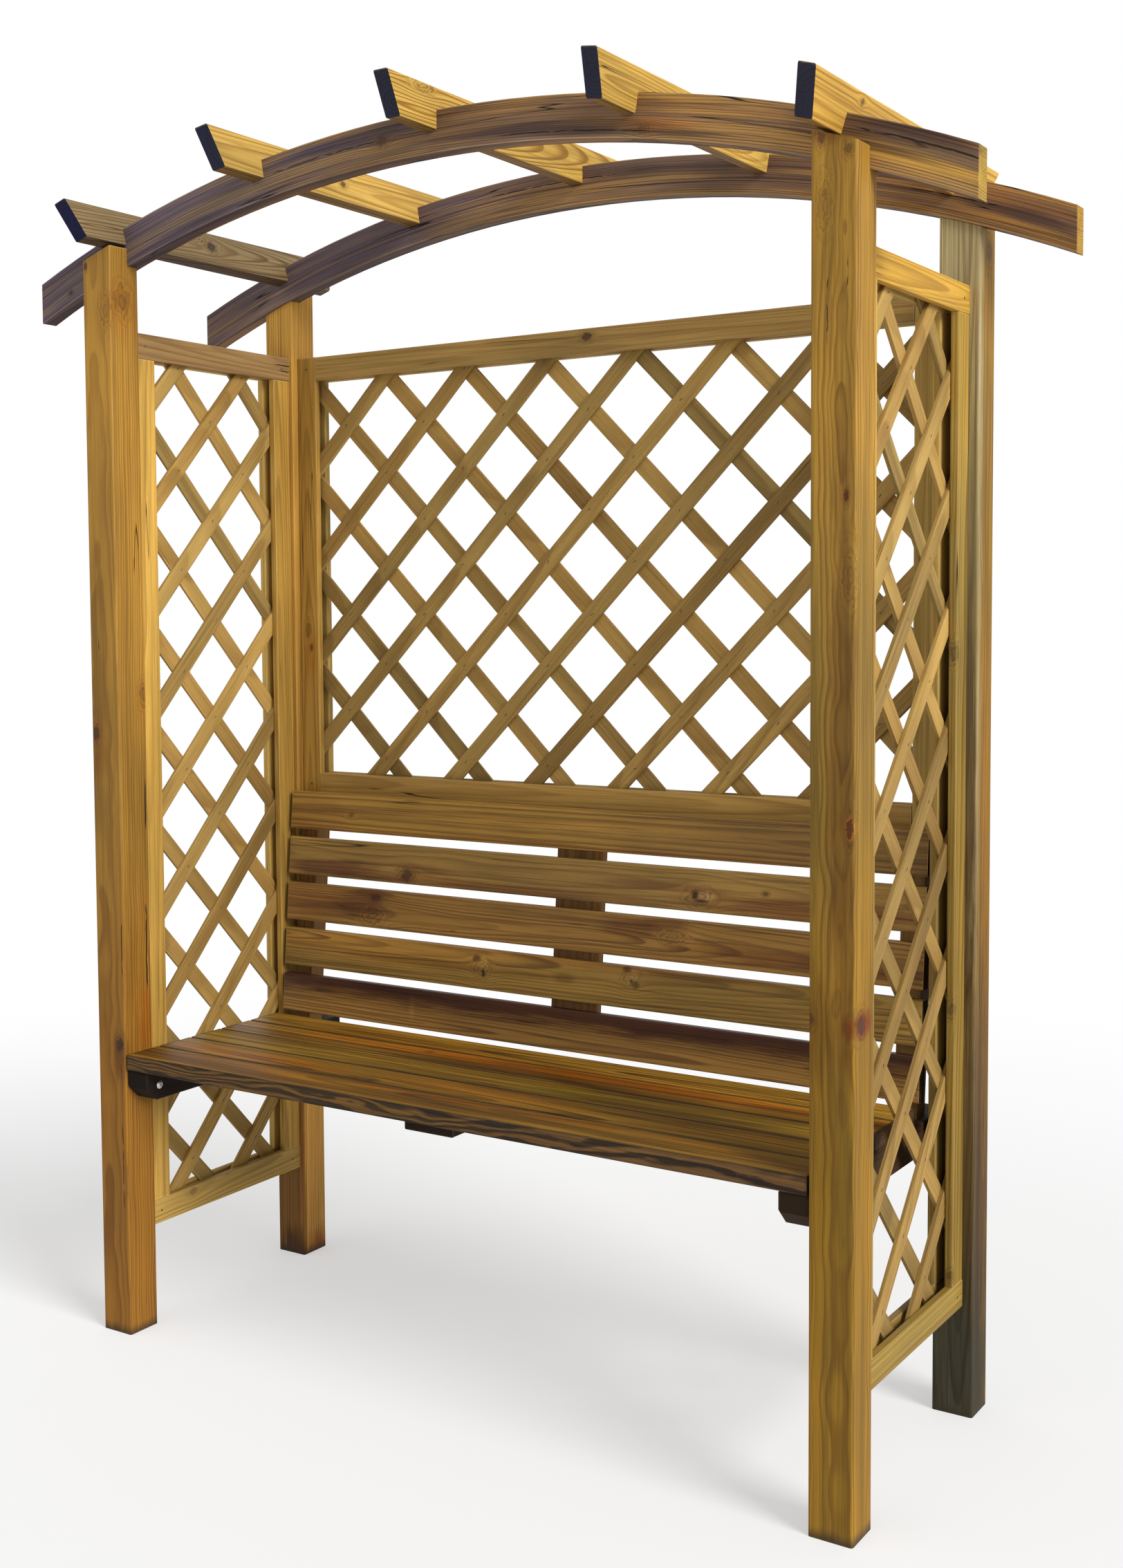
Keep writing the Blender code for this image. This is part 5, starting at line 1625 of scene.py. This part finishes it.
def add_floor(look):
    """A round floor of rings whose radii grow as a square, pale and then background white."""
    radii = look.floor_radius * np.linspace(0, 1, FLOOR_RINGS + 1)[1:] ** 2
    angle = np.linspace(0, 2 * math.pi, FLOOR_SIDES + 1)[:-1]
    x = radii[:, None] * np.cos(angle)
    y = radii[:, None] * np.sin(angle)
    points = np.stack((x, y, np.zeros_like(x)), -1).reshape(-1, 3)
    faces = tube_faces(FLOOR_RINGS, FLOOR_SIDES).tolist() + [list(range(FLOOR_SIDES))]
    mesh = bpy.data.meshes.new("floor")
    mesh.from_pydata(points, [], faces)
    floor = bpy.data.objects.new("floor", mesh)
    bpy.context.scene.collection.objects.link(floor)
    material = bpy.data.materials.new("pale_floor")
    material.use_nodes = True
    tree = material.node_tree
    tree.nodes.clear()
    s = Sheet(tree)
    place = s.place("ShaderNodeTexCoord").outputs["Object"]
    far = s.step(s.turn("LENGTH", place), *FLOOR_FADE, FLOOR_GLOW)
    path = s.place("ShaderNodeLightPath").outputs
    seen = s.sum("MAXIMUM", path["Is Camera Ray"], path["Is Glossy Ray"])
    matt = s.place("ShaderNodeBsdfDiffuse", Color=look.floor).outputs[0]
    glow = s.place("ShaderNodeEmission", Color=(1, 1, 1), Strength=1).outputs[0]
    mixed = s.place("ShaderNodeMixShader")
    s.feed(mixed.inputs[0], s.sum("MULTIPLY", far, seen))
    s.feed(mixed.inputs[1], matt)
    s.feed(mixed.inputs[2], glow)
    s.place("ShaderNodeOutputMaterial", Surface=mixed.outputs[0])
    mesh.materials.append(material)


def light_world(look):
    """An even pale sky, seen as white by the camera and in gloss."""
    world = bpy.data.worlds.new("studio")
    world.use_nodes = True
    bpy.context.scene.world = world
    tree = world.node_tree
    tree.nodes.clear()
    s = Sheet(tree)
    path = s.place("ShaderNodeLightPath").outputs
    direct = s.sum("MAXIMUM", path["Is Camera Ray"], path["Is Transmission Ray"])
    direct = s.sum("MAXIMUM", direct, path["Is Glossy Ray"])
    strength = s.lerp(direct, look.sky, 1.0)
    sky = s.place("ShaderNodeBackground", Color=(1, 1, 1), Strength=strength)
    s.place("ShaderNodeOutputWorld", Surface=sky.outputs[0])


def add_camera():
    """The camera that took the photograph, turned by its yaw, then its pitch, then its roll."""
    yaw, pitch, roll = CAMERA_YAW, CAMERA_PITCH, CAMERA_ROLL
    ahead = Vector((
        -math.sin(yaw) * math.cos(pitch), math.cos(yaw) * math.cos(pitch), math.sin(pitch)))
    level = Vector((math.cos(yaw), math.sin(yaw), 0))
    over = level.cross(ahead)
    right = math.cos(roll) * level + math.sin(roll) * over
    up = -math.sin(roll) * level + math.cos(roll) * over
    camera = bpy.data.cameras.new("camera")
    camera.sensor_width = CAMERA_SENSOR
    camera.lens = CAMERA_SENSOR * PHOTO_FOCAL_LENGTH / PHOTO_HEIGHT
    camera.shift_x = (PHOTO_WIDTH / 2 - PHOTO_CENTRE[0]) / PHOTO_HEIGHT
    camera.shift_y = -(PHOTO_HEIGHT / 2 - PHOTO_CENTRE[1]) / PHOTO_HEIGHT
    holder = bpy.data.objects.new("camera", camera)
    turn = Matrix((right, up, -ahead)).transposed().to_4x4()
    holder.matrix_world = Matrix.Translation(CAMERA_PLACE) @ turn
    bpy.context.scene.collection.objects.link(holder)
    bpy.context.scene.camera = holder


class ARBOR_OT_stage(Operator):
    """Set the floor, the soft light and the camera"""

    bl_idname = "arbor.stage"
    bl_label = "Set the stage"

    def execute(self, context):
        look = context.scene.arbor_bench.stage
        context.scene.view_settings.view_transform = "Standard"
        add_floor(look)
        light_world(look)
        add_lamp("key", (3.6, -0.9, 1.9), math.radians(28), look.key)
        add_lamp("fill", (-2.4, -3.6, 2.6), math.radians(60), look.fill)
        add_camera()
        return {"FINISHED"}


# ---------------------------------------------------------------------------------------------
# Panel and registration
# ---------------------------------------------------------------------------------------------

OPERATORS = (
    ARBOR_OT_posts, ARBOR_OT_arches, ARBOR_OT_rafters, ARBOR_OT_frames, ARBOR_OT_laths,
    ARBOR_OT_seat, ARBOR_OT_backrest, ARBOR_OT_bearers, ARBOR_OT_fixings, ARBOR_OT_stage,
)
LOOKS = (
    ArborPostLook, ArborArchLook, ArborRafterLook, ArborFrameLook, ArborLathLook, ArborSeatLook,
    ArborBackrestLook, ArborBearerLook, ArborFixingLook, ArborStageLook, ArborBenchLook,
)


class ARBOR_PT_bench(Panel):
    """Lists the steps that dress the arbor bench and their sizes and colours"""

    bl_idname = "ARBOR_PT_bench"
    bl_label = "Arbor bench"
    bl_space_type = "VIEW_3D"
    bl_region_type = "UI"
    bl_category = "Arbor bench"

    def draw(self, context):
        for step in OPERATORS:
            self.layout.operator(step.bl_idname)
        looks = context.scene.arbor_bench
        for family in ArborBenchLook.__annotations__:
            box = self.layout.box()
            box.label(text=family.capitalize())
            look = getattr(looks, family)
            for name in type(look).__annotations__:
                box.prop(look, name)


def register():
    for part in (*LOOKS, *OPERATORS, ARBOR_PT_bench):
        bpy.utils.register_class(part)
    bpy.types.Scene.arbor_bench = PointerProperty(type=ArborBenchLook)


def unregister():
    del bpy.types.Scene.arbor_bench
    for part in reversed((*LOOKS, *OPERATORS, ARBOR_PT_bench)):
        bpy.utils.unregister_class(part)


def main():
    """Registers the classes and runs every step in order."""
    register()
    for step in OPERATORS:
        area, name = step.bl_idname.split(".")
        getattr(getattr(bpy.ops, area), name)()


if __name__ == "__main__":
    main()
